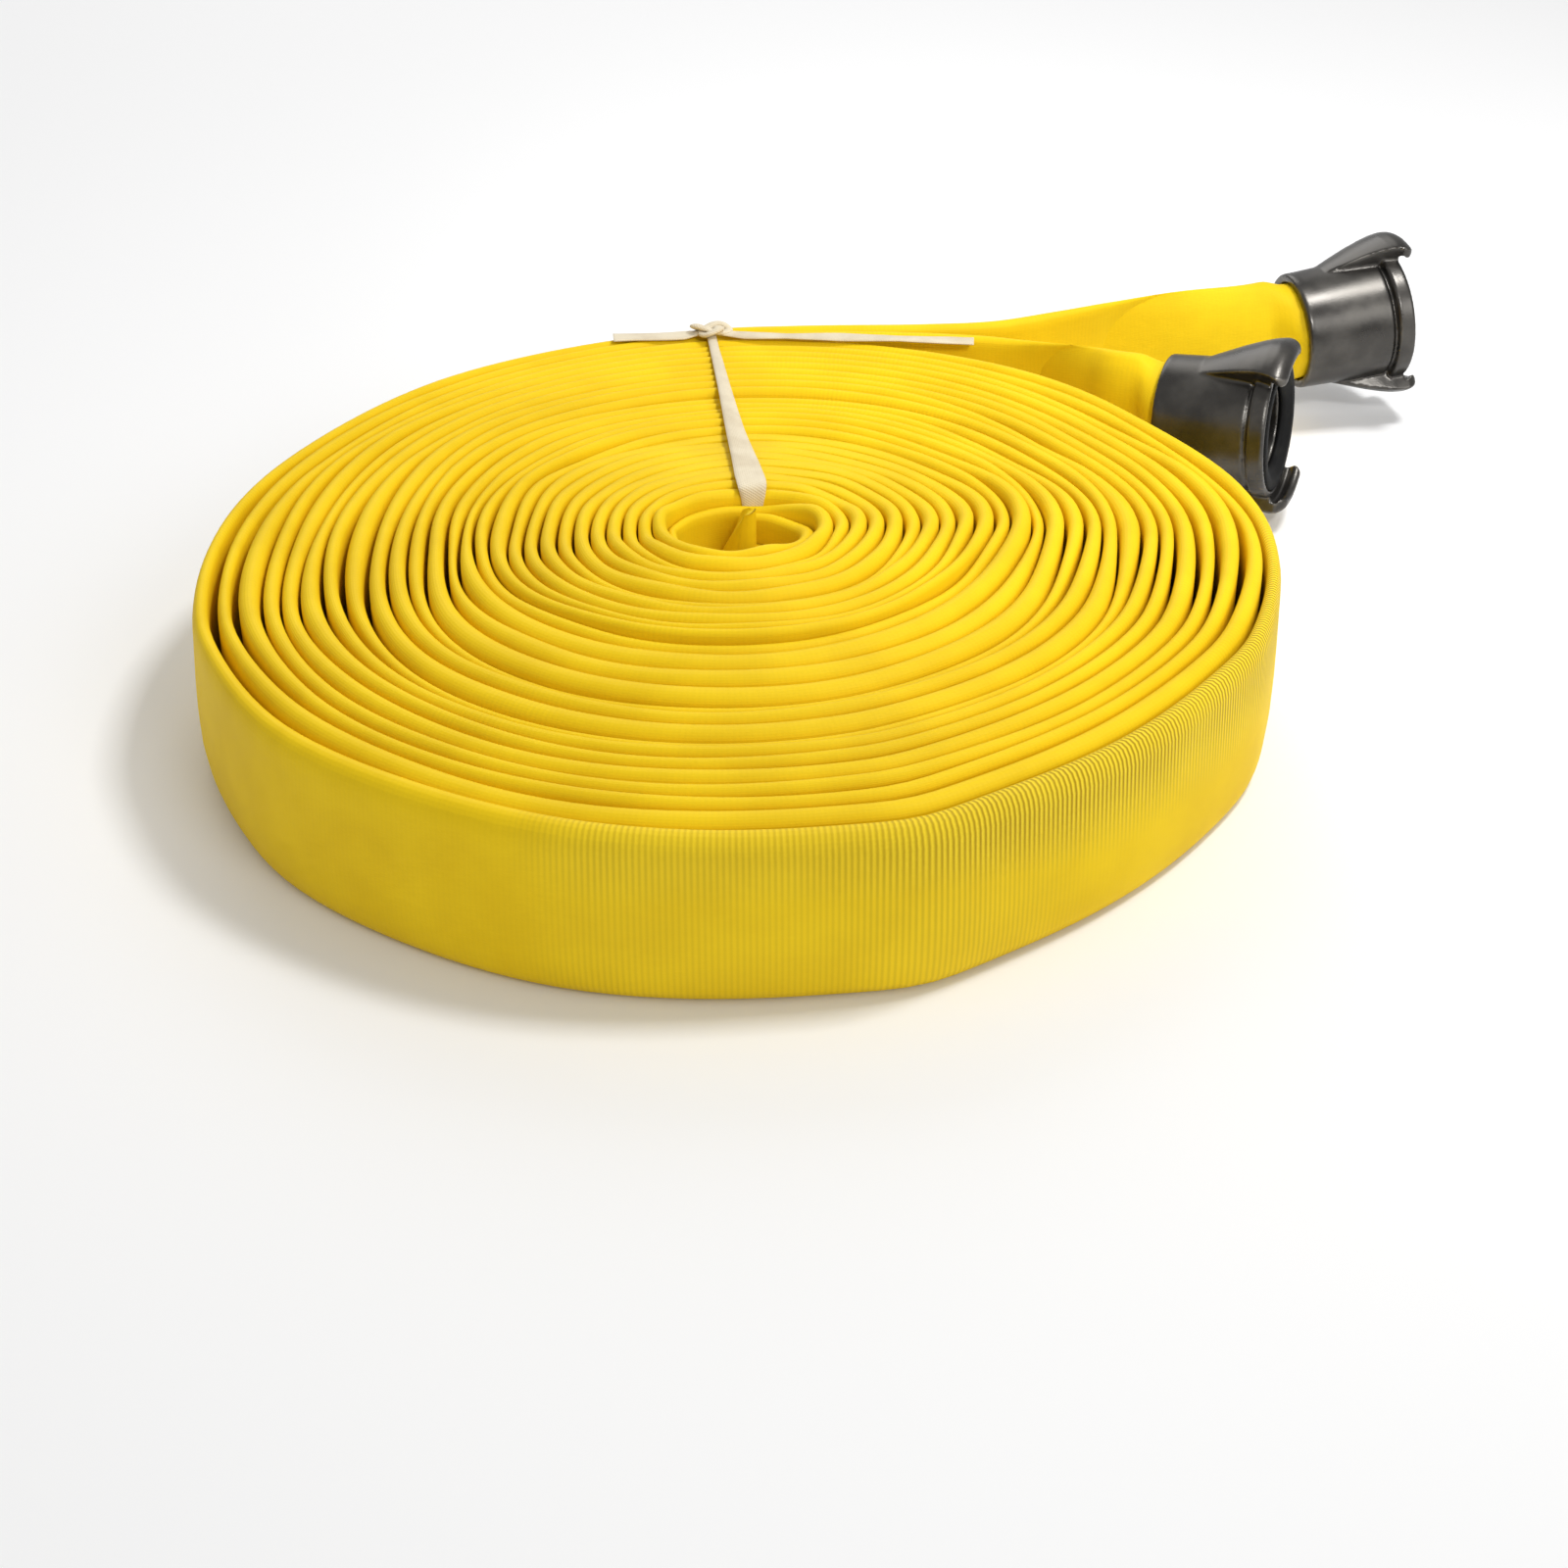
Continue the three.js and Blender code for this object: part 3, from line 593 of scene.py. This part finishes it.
ROUND_STEPS = 112
CLAW_STEPS = 14
CAST_VOXEL = 0.62
EDGE_HIGHLIGHT_TURN = 0.35  # how sharply an edge turns where its painted highlight is at full strength


def lathe(profile):
    """Points and faces of a closed profile (along, radius) turned about the coupling's own x axis."""
    angles = 2 * math.pi * np.arange(ROUND_STEPS) / ROUND_STEPS
    points = [(a, r * math.cos(t), r * math.sin(t)) for a, r in profile for t in angles]
    faces, count = [], len(profile)
    for i in range(count):
        n = (i + 1) % count
        here, there = i * ROUND_STEPS, n * ROUND_STEPS
        for j in range(ROUND_STEPS):
            k = (j + 1) % ROUND_STEPS
            faces.append((here + j, here + k, there + k, there + j))
    return points, faces


def claw(flip):
    """A claw, which grows out of the body and hooks inwards past the face; flip is 0 or 1 for its side."""
    rings = []
    for along, radius, inner, far, near in CLAW_STATIONS:
        shares = np.linspace(0, 1, CLAW_STEPS + 1)
        arc = [(radius, s) for s in shares] + [(inner, s) for s in shares[::-1]]
        ring = []
        for reach, share in arc:
            angle = math.radians(far + (near - far) * share + 180 * flip)
            ring.append((along, -reach * math.sin(angle), reach * math.cos(angle)))
        rings.append(ring)
    points, faces, _ = sweep(rings, [0] * len(rings), [0] * (len(rings[0]) + 1))
    return points.tolist(), faces


def joined(parts):
    """Several lists of points and faces as one."""
    points, faces = [], []
    for some, loops in parts:
        faces += [tuple(len(points) + i for i in loop) for loop in loops]
        points += [tuple(p) for p in some]
    return points, faces


def apply_modifiers(piece):
    """The piece's mesh with its modifiers applied."""
    graph = bpy.context.evaluated_depsgraph_get()
    mesh = bpy.data.meshes.new_from_object(piece.evaluated_get(graph))
    piece.modifiers.clear()
    piece.data = mesh
    mesh.polygons.foreach_set("use_smooth", [True] * len(mesh.polygons))


def mark_edges(piece):
    """Keeps, for each point, how sharply the surface turns outwards there, for the painted highlight on the
    metal's edges.
    """
    mesh = piece.data
    count = len(mesh.vertices)
    points = np.empty(count * 3, np.float32)
    mesh.vertices.foreach_get("co", points)
    points = points.reshape(-1, 3).astype(float)
    normals = np.empty(count * 3, np.float32)
    mesh.vertices.foreach_get("normal", normals)
    normals = normals.reshape(-1, 3)
    ends = np.empty(len(mesh.edges) * 2, np.int32)
    mesh.edges.foreach_get("vertices", ends)
    ends = ends.reshape(-1, 2)
    near = np.bincount(ends.ravel(), minlength=count)[:, None]
    values = points
    for _ in range(4):
        total = np.zeros_like(points)
        np.add.at(total, ends[:, 0], values[ends[:, 1]])
        np.add.at(total, ends[:, 1], values[ends[:, 0]])
        values = total / np.maximum(near, 1)
    turn = ((points - values) * normals).sum(1) / MM
    attribute = mesh.attributes.new("edge_highlight", "FLOAT", "POINT")
    attribute.data.foreach_set("value", np.clip(turn / EDGE_HIGHLIGHT_TURN, -1, 1).astype(np.float32))


def coupling_points(name, points):
    """Points along the coupling's own axis, set where that end holds it, in mm from the roll's middle."""
    end = ENDS[name]
    turn = np.array(coupling_turn(end))
    return np.asarray(points, float) @ turn.T + np.array(end["mouth"], float)


def make_coupling(name):
    """A coupling's casting: the body and its claws, melted into one and softened at the edges."""
    points, faces = joined([lathe(BODY_PROFILE[::-1]), claw(0), claw(1)])
    piece = build(f"{name}_coupling_casting", coupling_points(name, points), faces)
    remesh = piece.modifiers.new("cast", "REMESH")
    remesh.mode = "VOXEL"
    remesh.voxel_size = CAST_VOXEL * MM
    soften = piece.modifiers.new("soften", "SMOOTH")
    soften.factor = 0.5
    soften.iterations = 9
    apply_modifiers(piece)
    mark_edges(piece)
    return piece


def make_gasket(name):
    """The seal in the coupling's face."""
    points, faces = lathe(GASKET_PROFILE[::-1])
    return build(f"{name}_face_seal", coupling_points(name, points), faces)


# ---- The tie tape ---------------------------------------------------------------------------------

TAPE_THICKNESS = 0.8
TAPE_WIDTH = 12
TAPE_STEPS = 14  # between two places of a route
LOOP_ROUTE = [  # where the band runs, which way its flat side faces, and how wide it lies
    ((-14.6, 217, 68.2), (0, 0, 1), 4.6), ((-12.8, 200, 67.9), (0.25, 0, 1), 4.8),
    ((-8.0, 152, 67.5), (0.2, 0, 1), 6.4), ((-3.0, 102, 67.0), (0.1, 0, 1), 8.8),
    ((1.2, 68, 66.8), (0, 0, 1), 11.6), ((2.8, 54, 66.9), (0, 0, 1), 12.8),
    ((3.6, 47.4, 67.0), (0, -0.1, 1), 12.8), ((4.0, 43.6, 66.0), (0, -0.6, 0.8), 12.2),
    ((4.2, 42.1, 62.6), (0, -1, 0.2), 10.6), ((4.2, 41.7, 57.0), (0, -1, 0), 9.0),
    ((4.0, 41.6, 44.0), (0, -1, 0), 8.0), ((3.6, 41.5, 24.0), (0, -1, 0), 9.4),
    ((3.2, 41.4, 6.0), (0, -1, 0), 11.4), ((2.9, 43.0, 1.1), (0, -0.7, -0.7), 12),
    ((2.2, 49.0, 0.7), (0, 0, -1), 12), ((-6, 132, 0.7), (0, 0, -1), 12),
    ((-14.8, 224, 0.7), (0, 0, -1), 12), ((-15.6, 231.8, 1.6), (0, 0.7, -0.7), 12),
    ((-15.8, 232.6, 8), (0, 1, 0), 12), ((-15.8, 232.7, 33), (0, 1, 0), 12),
    ((-15.8, 232.4, 58), (0, 1, 0), 11), ((-15.5, 230.6, 66.4), (0, 0.7, 0.7), 9),
    ((-15.0, 225, 68.2), (0, 0.1, 1), 6),
]
LEFT_ROUTE = [
    ((-20, 216.4, 69.4), (0, 0, 1), 6.0), ((-28, 216.2, 68.0), (0, -0.1, 1), 8.0),
    ((-40, 215.6, 67.5), (0, 0, 1), 9.0), ((-52, 215.0, 67.5), (0, 0.05, 1), 9.6),
    ((-62, 214.2, 67.6), (0, 0, 1), 9.8),
]
RIGHT_ROUTE = [
    ((-9, 215.6, 69.6), (0, 0, 1), 5.4), ((2, 214.6, 68.6), (0, -0.15, 1), 6.6),
    ((22, 213.4, 68.4), (0, 0.1, 1), 7.4), ((48, 211.6, 68.3), (0, -0.1, 1), 7.8),
    ((76, 209.4, 68.2), (0, 0.1, 1), 8.0), ((98, 207.2, 68.0), (0, 0, 1), 8.4),
    ((112, 206, 67.8), (0, 0, 1), 8.8),
]
KNOT_CENTRE = (-14.6, 216, 70.6)
KNOT_SIZE = (8.6, 5.4, 1.5)
KNOT_LENGTH = 70
KNOT_STEPS, KNOT_SIDES = 150, 12
KNOT_TAPE = (2.7, 1.3)  # half the width and thickness of the gathered tape in it


def make_ribbon(name, route, seed):
    """A flat tape along a route; returns the piece and its middle line in metres."""
    places = [p for p, _, _ in route]
    faces_to = np.array([n for _, n, _ in route], float)
    line = smooth_route(places, TAPE_STEPS)
    shares = np.linspace(0, len(route) - 1, len(line))
    knots = np.arange(len(route))
    normals = np.stack([np.interp(shares, knots, faces_to[:, i]) for i in range(3)], -1)
    width = np.interp(shares, knots, [w for _, _, w in route])
    headings = np.gradient(line, axis=0)
    headings /= np.linalg.norm(headings, axis=1)[:, None]
    ripple = waves(seed, (3.0, 11.0), 6)
    rings = []
    # The section: across as a share of the width, and up
    across = np.array([-0.5, -0.47, -0.3, -0.1, 0.1, 0.3, 0.47, 0.5, 0.47, 0.3, 0.1, -0.1, -0.3, -0.47])
    rise = np.array([0, 1, 1, 1, 1, 1, 1, 0, -1, -1, -1, -1, -1, -1]) * TAPE_THICKNESS / 2
    for i, (centre, heading, normal) in enumerate(zip(line, headings, normals, strict=True)):
        side = np.cross(heading, normal)
        side /= np.linalg.norm(side)
        up = np.cross(side, heading)
        gathered = max(0.0, 1 - width[i] / TAPE_WIDTH)
        curl = (across * 2) ** 2 * -1.6 * gathered + 0.25 * ripple(shares[i] * 3 + across * 4) * gathered
        rings.append(centre + (across * width[i])[:, None] * side + (rise + curl)[:, None] * up)
    lengths = distances(line) * MM
    girths = np.concatenate([across + 0.5, [0]]) * TAPE_WIDTH * MM
    points, faces, uvs = sweep(rings, lengths, girths)
    piece = build(name, points, faces, uvs)
    return piece, [tuple(place(p)) for p in line], lengths[-1]


def make_knot():
    """The knot: the tape drawn round itself, lumpy and flattened."""
    turns = np.linspace(0, 2 * math.pi, KNOT_STEPS, endpoint=False)
    x = (np.sin(turns) + 2 * np.sin(2 * turns)) / 3
    y = (np.cos(turns) - 2 * np.cos(2 * turns)) / 3
    z = -np.sin(3 * turns)
    line = np.stack([x, y, z], -1) * KNOT_SIZE + KNOT_CENTRE
    headings = np.roll(line, -1, 0) - np.roll(line, 1, 0)
    headings /= np.linalg.norm(headings, axis=1)[:, None]
    rings = []
    flat, thick = KNOT_TAPE
    angles = 2 * math.pi * np.arange(KNOT_SIDES) / KNOT_SIDES
    for centre, heading in zip(line, headings, strict=True):
        side = np.cross(heading, (0.1, 0.2, 1))
        side /= np.linalg.norm(side)
        up = np.cross(side, heading)
        rings.append(centre + flat * np.cos(angles)[:, None] * side + thick * np.sin(angles)[:, None] * up)
    rings.append(rings[0])
    lengths = np.linspace(0, KNOT_LENGTH * MM, len(rings))
    girths = np.linspace(0, TAPE_WIDTH * MM, KNOT_SIDES + 1)
    points, faces, uvs = sweep(rings, lengths, girths, False, False)
    return build("tape_knot", points, faces, uvs)


# ---- The pieces, and what they stand for ----------------------------------------------------------

make_camera()
layout = make_layout()
outer_windings, outer_rings = make_windings(0, layout)
inner_windings, inner_rings = make_windings(1, layout)
for piece in (outer_windings, inner_windings):
    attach(piece, "roll")
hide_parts("hose_roll")
fold = make_fold()
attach(fold, "roll")
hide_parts("hose_centre_fold")
first_rings = {"outer": outer_rings[0], "inner": inner_rings[0]}
tails = {name: make_tail(name, ring) for name, ring in first_rings.items()}
liners = {
    name: make_tail(name, ring, (JACKET_WALL + 0.15, JACKET_WALL + LINER_WALL), 0.75)
    for name, ring in first_rings.items()
}
for name, tail in tails.items():
    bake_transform(tail)
    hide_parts(f"{name}_lead", f"{name}_jacket")
    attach(liners[name], f"{name}_end")
    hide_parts(f"{name}_liner")
castings, seals = [], []
for name in ENDS:
    castings.append(make_coupling(name))
    seals.append(make_gasket(name))
    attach(castings[-1], f"{name}_end")
    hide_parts(f"{name}_coupling_body")
    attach(seals[-1], f"{name}_end")
    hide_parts(f"{name}_face_gasket")
knot = make_knot()
loop, loop_path, loop_length = make_ribbon("tape_band", LOOP_ROUTE, 5)
left_end, left_path, left_length = make_ribbon("tape_left_end", LEFT_ROUTE, 6)
right_end, right_path, right_length = make_ribbon("tape_right_end", RIGHT_ROUTE, 7)
tapes = [knot, loop, left_end, right_end]
for piece, node in (
    (knot, "tie_tape_knot"), (loop, "tie_tape_loop"),
    (left_end, "tie_tape_left_end"), (right_end, "tie_tape_right_end"),
):
    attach(piece, "roll")
    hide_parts(node)
cloth = [outer_windings, inner_windings, fold, *tails.values()]

# ---- Materials ------------------------------------------------------------------------------------

WEFT_PITCH = 0.0021
WARP_PITCH = 0.0011
TWILL_PITCH = 0.0012
THREAD_PITCH = 0.0009


class Graph:
    """A material's nodes, made and joined one line each."""

    def __init__(self, name, roughness, metallic=0.0):
        self.material = bpy.data.materials.new(name)
        self.material.use_nodes = True
        self.nodes = self.material.node_tree.nodes
        self.links = self.material.node_tree.links
        self.shader = self.nodes["Principled BSDF"]
        self.shader.inputs["Roughness"].default_value = roughness
        self.shader.inputs["Metallic"].default_value = metallic

    def put(self, value, socket):
        if isinstance(value, bpy.types.NodeSocket):
            self.links.new(value, socket)
        else:
            socket.default_value = value

    def node(self, kind, **inputs):
        made = self.nodes.new(kind)
        for key, value in inputs.items():
            self.put(value, made.inputs[key.replace("_", " ")])
        return made

    def math(self, operation, *values):
        made = self.nodes.new("ShaderNodeMath")
        made.operation = operation
        for socket, value in zip(made.inputs, values, strict=False):
            self.put(value, socket)
        return made.outputs[0]

    def remap(self, value, low, high, to_low, to_high):
        made = self.node("ShaderNodeMapRange", Value=value)
        made.interpolation_type = "SMOOTHSTEP"
        for key, number in (("From Min", low), ("From Max", high), ("To Min", to_low), ("To Max", to_high)):
            made.inputs[key].default_value = number
        return made.outputs[0]

    def mix(self, factor, first, second):
        made = self.nodes.new("ShaderNodeMix")
        made.data_type = "RGBA"
        self.put(factor, made.inputs[0])
        self.put(first, made.inputs[6])
        self.put(second, made.inputs[7])
        return made.outputs[2]

    def noise(self, vector, scale, detail=2.0):
        return self.node("ShaderNodeTexNoise", Vector=vector, Scale=scale, Detail=detail).outputs[0]

    def place(self):
        return self.node("ShaderNodeTexCoord").outputs["Object"]

    def place_mm(self):
        """Across, along and up from the middle of the roll's base, in mm."""
        split = self.node("ShaderNodeSeparateXYZ", Vector=self.place())
        away = [self.math("SUBTRACT", split.outputs[i], ROLL_CENTRE[i]) for i in range(3)]
        return [self.math("MULTIPLY", part, 1 / MM) for part in away]

    def cloth(self):
        """How far along the cloth and how far round it, in metres."""
        uv = self.nodes.new("ShaderNodeUVMap")
        uv.uv_map = "cloth"
        split = self.node("ShaderNodeSeparateXYZ", Vector=uv.outputs[0])
        return split.outputs[0], split.outputs[1]

    def attribute(self, name):
        made = self.nodes.new("ShaderNodeAttribute")
        made.attribute_name = name
        return made.outputs["Fac"]

    def ribs(self, value, pitch):
        """Waves from 0 to 1 along a value, a pitch apart."""
        angle = self.math("MULTIPLY", value, 2 * math.pi / pitch)
        return self.math("MULTIPLY_ADD", self.math("SINE", angle), 0.5, 0.5)

    def finish(self, colour, height=None, depth=0.0001, roughness=None):
        self.put(colour, self.shader.inputs["Base Color"])
        if roughness is not None:
            self.put(roughness, self.shader.inputs["Roughness"])
        if height is not None:
            bump_node = self.node("ShaderNodeBump", Height=height, Distance=depth)
            self.links.new(bump_node.outputs[0], self.shader.inputs["Normal"])
        return self.material


def woven_jacket():
    """The yellow jacket, with the ribs of its weft at the front and right of the outer wall, painted shade
    in their grooves and a painted highlight over the ribbed upper rim.
    """
    g = Graph("woven_jacket", 0.58)
    length, girth = g.cloth()
    place_at = g.place()
    patch = g.noise(place_at, 9.0, 3.0)
    across, along, up = g.place_mm()
    # The ribs start left of the roll's front; further right they are deeper, and keep to the wall's top
    front = g.math("MULTIPLY", g.remap(along, 40, -60, 0.0, 1.0), g.remap(across, -90, -40, 0.0, 1.0))
    upper = g.math("MAXIMUM", g.remap(across, 55, 135, 0.5, 0.0), g.remap(up, 22, 58, 0.0, 1.0))
    upper = g.math("MULTIPLY", upper, g.remap(across, 20, 110, 0.5, 1.0))
    ribbed = g.math("MULTIPLY", g.math("MULTIPLY", front, upper), g.attribute("outermost"))
    strength = g.math("MULTIPLY", ribbed, g.remap(patch, 0.35, 0.6, 0.6, 1.0))
    strength = g.math("MAXIMUM", strength, g.remap(patch, 0.55, 0.7, 0.03, 0.1))
    rib = g.math("POWER", g.ribs(length, WEFT_PITCH), 1.6)
    warp = g.ribs(girth, WARP_PITCH)
    height = g.math("MULTIPLY", rib, strength)
    height = g.math("MULTIPLY_ADD", warp, 0.16, height)
    grain = g.noise(place_at, 900.0, 1.0)
    height = g.math("MULTIPLY_ADD", grain, 0.30, height)
    tone = g.noise(place_at, 26.0, 4.0)
    plain = g.mix(g.remap(tone, 0.3, 0.7, 0.0, 1.0), (0.80, 0.535, 0.006, 1), (0.88, 0.605, 0.008, 1))
    # Painted shade: the grooves between the weft ribs are darkened in the colour
    painted_groove_shade = g.math("POWER", g.math("SUBTRACT", 1.0, rib), 2.5)
    # Painted highlight: the ribbed upper rim at the front and right is made paler in the colour
    painted_rim_highlight = g.mix(g.math("MULTIPLY", ribbed, 0.6), plain, (0.92, 0.71, 0.045, 1))
    colour = g.mix(g.math("MULTIPLY", painted_groove_shade, strength), painted_rim_highlight, (0.42, 0.26, 0.006, 1))
    g.shader.inputs["Specular IOR Level"].default_value = 0.12
    return g.finish(colour, height, 0.00018)


def cast_metal():
    g = Graph("anodised_casting", 0.4, 0.92)
    place_at = g.place()
    cloud = g.noise(place_at, 60.0, 4.0)
    # Painted highlight: the colour is lighter on edges that turn sharply outwards
    edge = g.remap(g.attribute("edge_highlight"), 0.25, 0.9, 0.0, 1.0)
    painted_edge_highlight = g.math("MULTIPLY", edge, g.remap(cloud, 0.4, 0.65, 0.2, 0.8))
    body = g.mix(g.remap(cloud, 0.35, 0.7, 0.0, 1.0), (0.070, 0.066, 0.061, 1), (0.104, 0.098, 0.089, 1))
    colour = g.mix(painted_edge_highlight, body, (0.30, 0.28, 0.25, 1))
    grain = g.noise(place_at, 1400.0, 2.0)
    rough = g.remap(cloud, 0.3, 0.7, 0.27, 0.38)
    return g.finish(colour, grain, 0.00003, rough)


def black_rubber():
    g = Graph("black_rubber", 0.7)
    g.shader.inputs["Specular IOR Level"].default_value = 0.15
    dust = g.noise(g.place(), 120.0, 3.0)
    colour = g.mix(g.remap(dust, 0.45, 0.75, 0.0, 1.0), (0.004, 0.004, 0.004, 1), (0.009, 0.009, 0.008, 1))
    return g.finish(colour, dust, 0.00005)


def cotton_tape():
    g = Graph("cotton_tape", 0.9)
    length, girth = g.cloth()
    twill = g.math("ADD", length, g.math("MULTIPLY", girth, 0.6))
    thread = g.ribs(twill, TWILL_PITCH)
    strand = g.ribs(girth, THREAD_PITCH)
    tone = g.noise(g.place(), 70.0, 3.0)
    plain = g.mix(g.remap(tone, 0.3, 0.7, 0.0, 1.0), (0.66, 0.56, 0.39, 1), (0.78, 0.69, 0.51, 1))
    colour = g.mix(g.math("MULTIPLY", thread, 0.18), plain, (0.45, 0.36, 0.22, 1))
    height = g.math("MULTIPLY_ADD", strand, 0.5, thread)
    g.shader.inputs["Sheen Weight"].default_value = 0.15
    return g.finish(colour, height, 0.00012)


def smooth_liner():
    g = Graph("rubber_liner", 0.5)
    tone = g.noise(g.place(), 40.0, 3.0)
    colour = g.mix(g.remap(tone, 0.3, 0.7, 0.0, 1.0), (0.40, 0.33, 0.20, 1), (0.50, 0.42, 0.27, 1))
    return g.finish(colour, tone, 0.00006)


def rolled_brass():
    g = Graph("rolled_brass", 0.34, 1.0)
    tone = g.noise(g.place(), 90.0, 3.0)
    colour = g.mix(g.remap(tone, 0.3, 0.7, 0.0, 1.0), (0.50, 0.34, 0.13, 1), (0.66, 0.47, 0.20, 1))
    return g.finish(colour, None, 0, g.remap(tone, 0.3, 0.7, 0.28, 0.42))


def floor_paint():
    g = Graph("floor_paint", 0.9)
    return g.finish((0.92, 0.92, 0.92, 1))


jacket, metal, rubber, cotton = woven_jacket(), cast_metal(), black_rubber(), cotton_tape()
for pieces, made in (
    (cloth, jacket), (castings, metal), (seals, rubber), (tapes, cotton),
    (liners.values(), smooth_liner()),
):
    for piece in pieces:
        piece.data.materials.append(made)
brass = rolled_brass()
for name in ENDS:
    for node, made in ((f"{name}_expansion_ring", brass), (f"{name}_tail_gasket", rubber)):
        for slot in frame["nodes"][node].material_slots:
            slot.material = made


# ---- Stage ----------------------------------------------------------------------------------------

FLOOR_SIZE = 20.0
FLOOR_DROP = 0.0005
WORLD_STRENGTH = 0.47
MIDDLE = Vector((0, 0, 0.03))
LIGHTS = [  # name, kind, place, what it is aimed at, strength, and size in metres or its angle in degrees
    ("overhead", "AREA", (0.55, 0.05, 1.4), MIDDLE, 11.8, 0.3),
    ("side", "SUN", (0.9, -1.1, 0.8), MIDDLE, 0.62, 25),
    ("far", "AREA", (-0.4, 2.2, 1.6), MIDDLE, 16, 1.6),
    ("ends", "SPOT", (0.3, -0.85, 0.8), place((190, 235, 50)), 22, 30),
]
SPOT_RADIUS = 0.08


def make_stage():
    """The floor, the studio's even light and its lamps."""
    floor = bpy.data.meshes.new("floor")
    signs = [(-1, -1), (1, -1), (1, 1), (-1, 1)]
    corners = [(x * FLOOR_SIZE, y * FLOOR_SIZE, -FLOOR_DROP) for x, y in signs]
    floor.from_pydata(corners, [], [(0, 1, 2, 3)])
    piece = bpy.data.objects.new("floor", floor)
    bpy.context.scene.collection.objects.link(piece)
    floor.materials.append(floor_paint())
    world = bpy.data.worlds.new("studio")
    world.use_nodes = True
    world.node_tree.nodes["Background"].inputs["Color"].default_value = (1, 1, 1, 1)
    world.node_tree.nodes["Background"].inputs["Strength"].default_value = WORLD_STRENGTH
    bpy.context.scene.world = world
    for name, kind, at, aim, power, size in LIGHTS:
        light = bpy.data.lights.new(name, kind)
        light.energy = power
        if kind == "AREA":
            light.size = size
        elif kind == "SUN":
            light.angle = math.radians(size)
        else:
            light.spot_size = math.radians(size)
            light.spot_blend = 1.0
            light.shadow_soft_size = SPOT_RADIUS
        lamp = bpy.data.objects.new(name, light)
        lamp.location = at
        lamp.rotation_euler = (aim - Vector(at)).to_track_quat("-Z", "Y").to_euler()
        bpy.context.scene.collection.objects.link(lamp)


make_stage()
bpy.context.scene.view_settings.view_transform = "Standard"
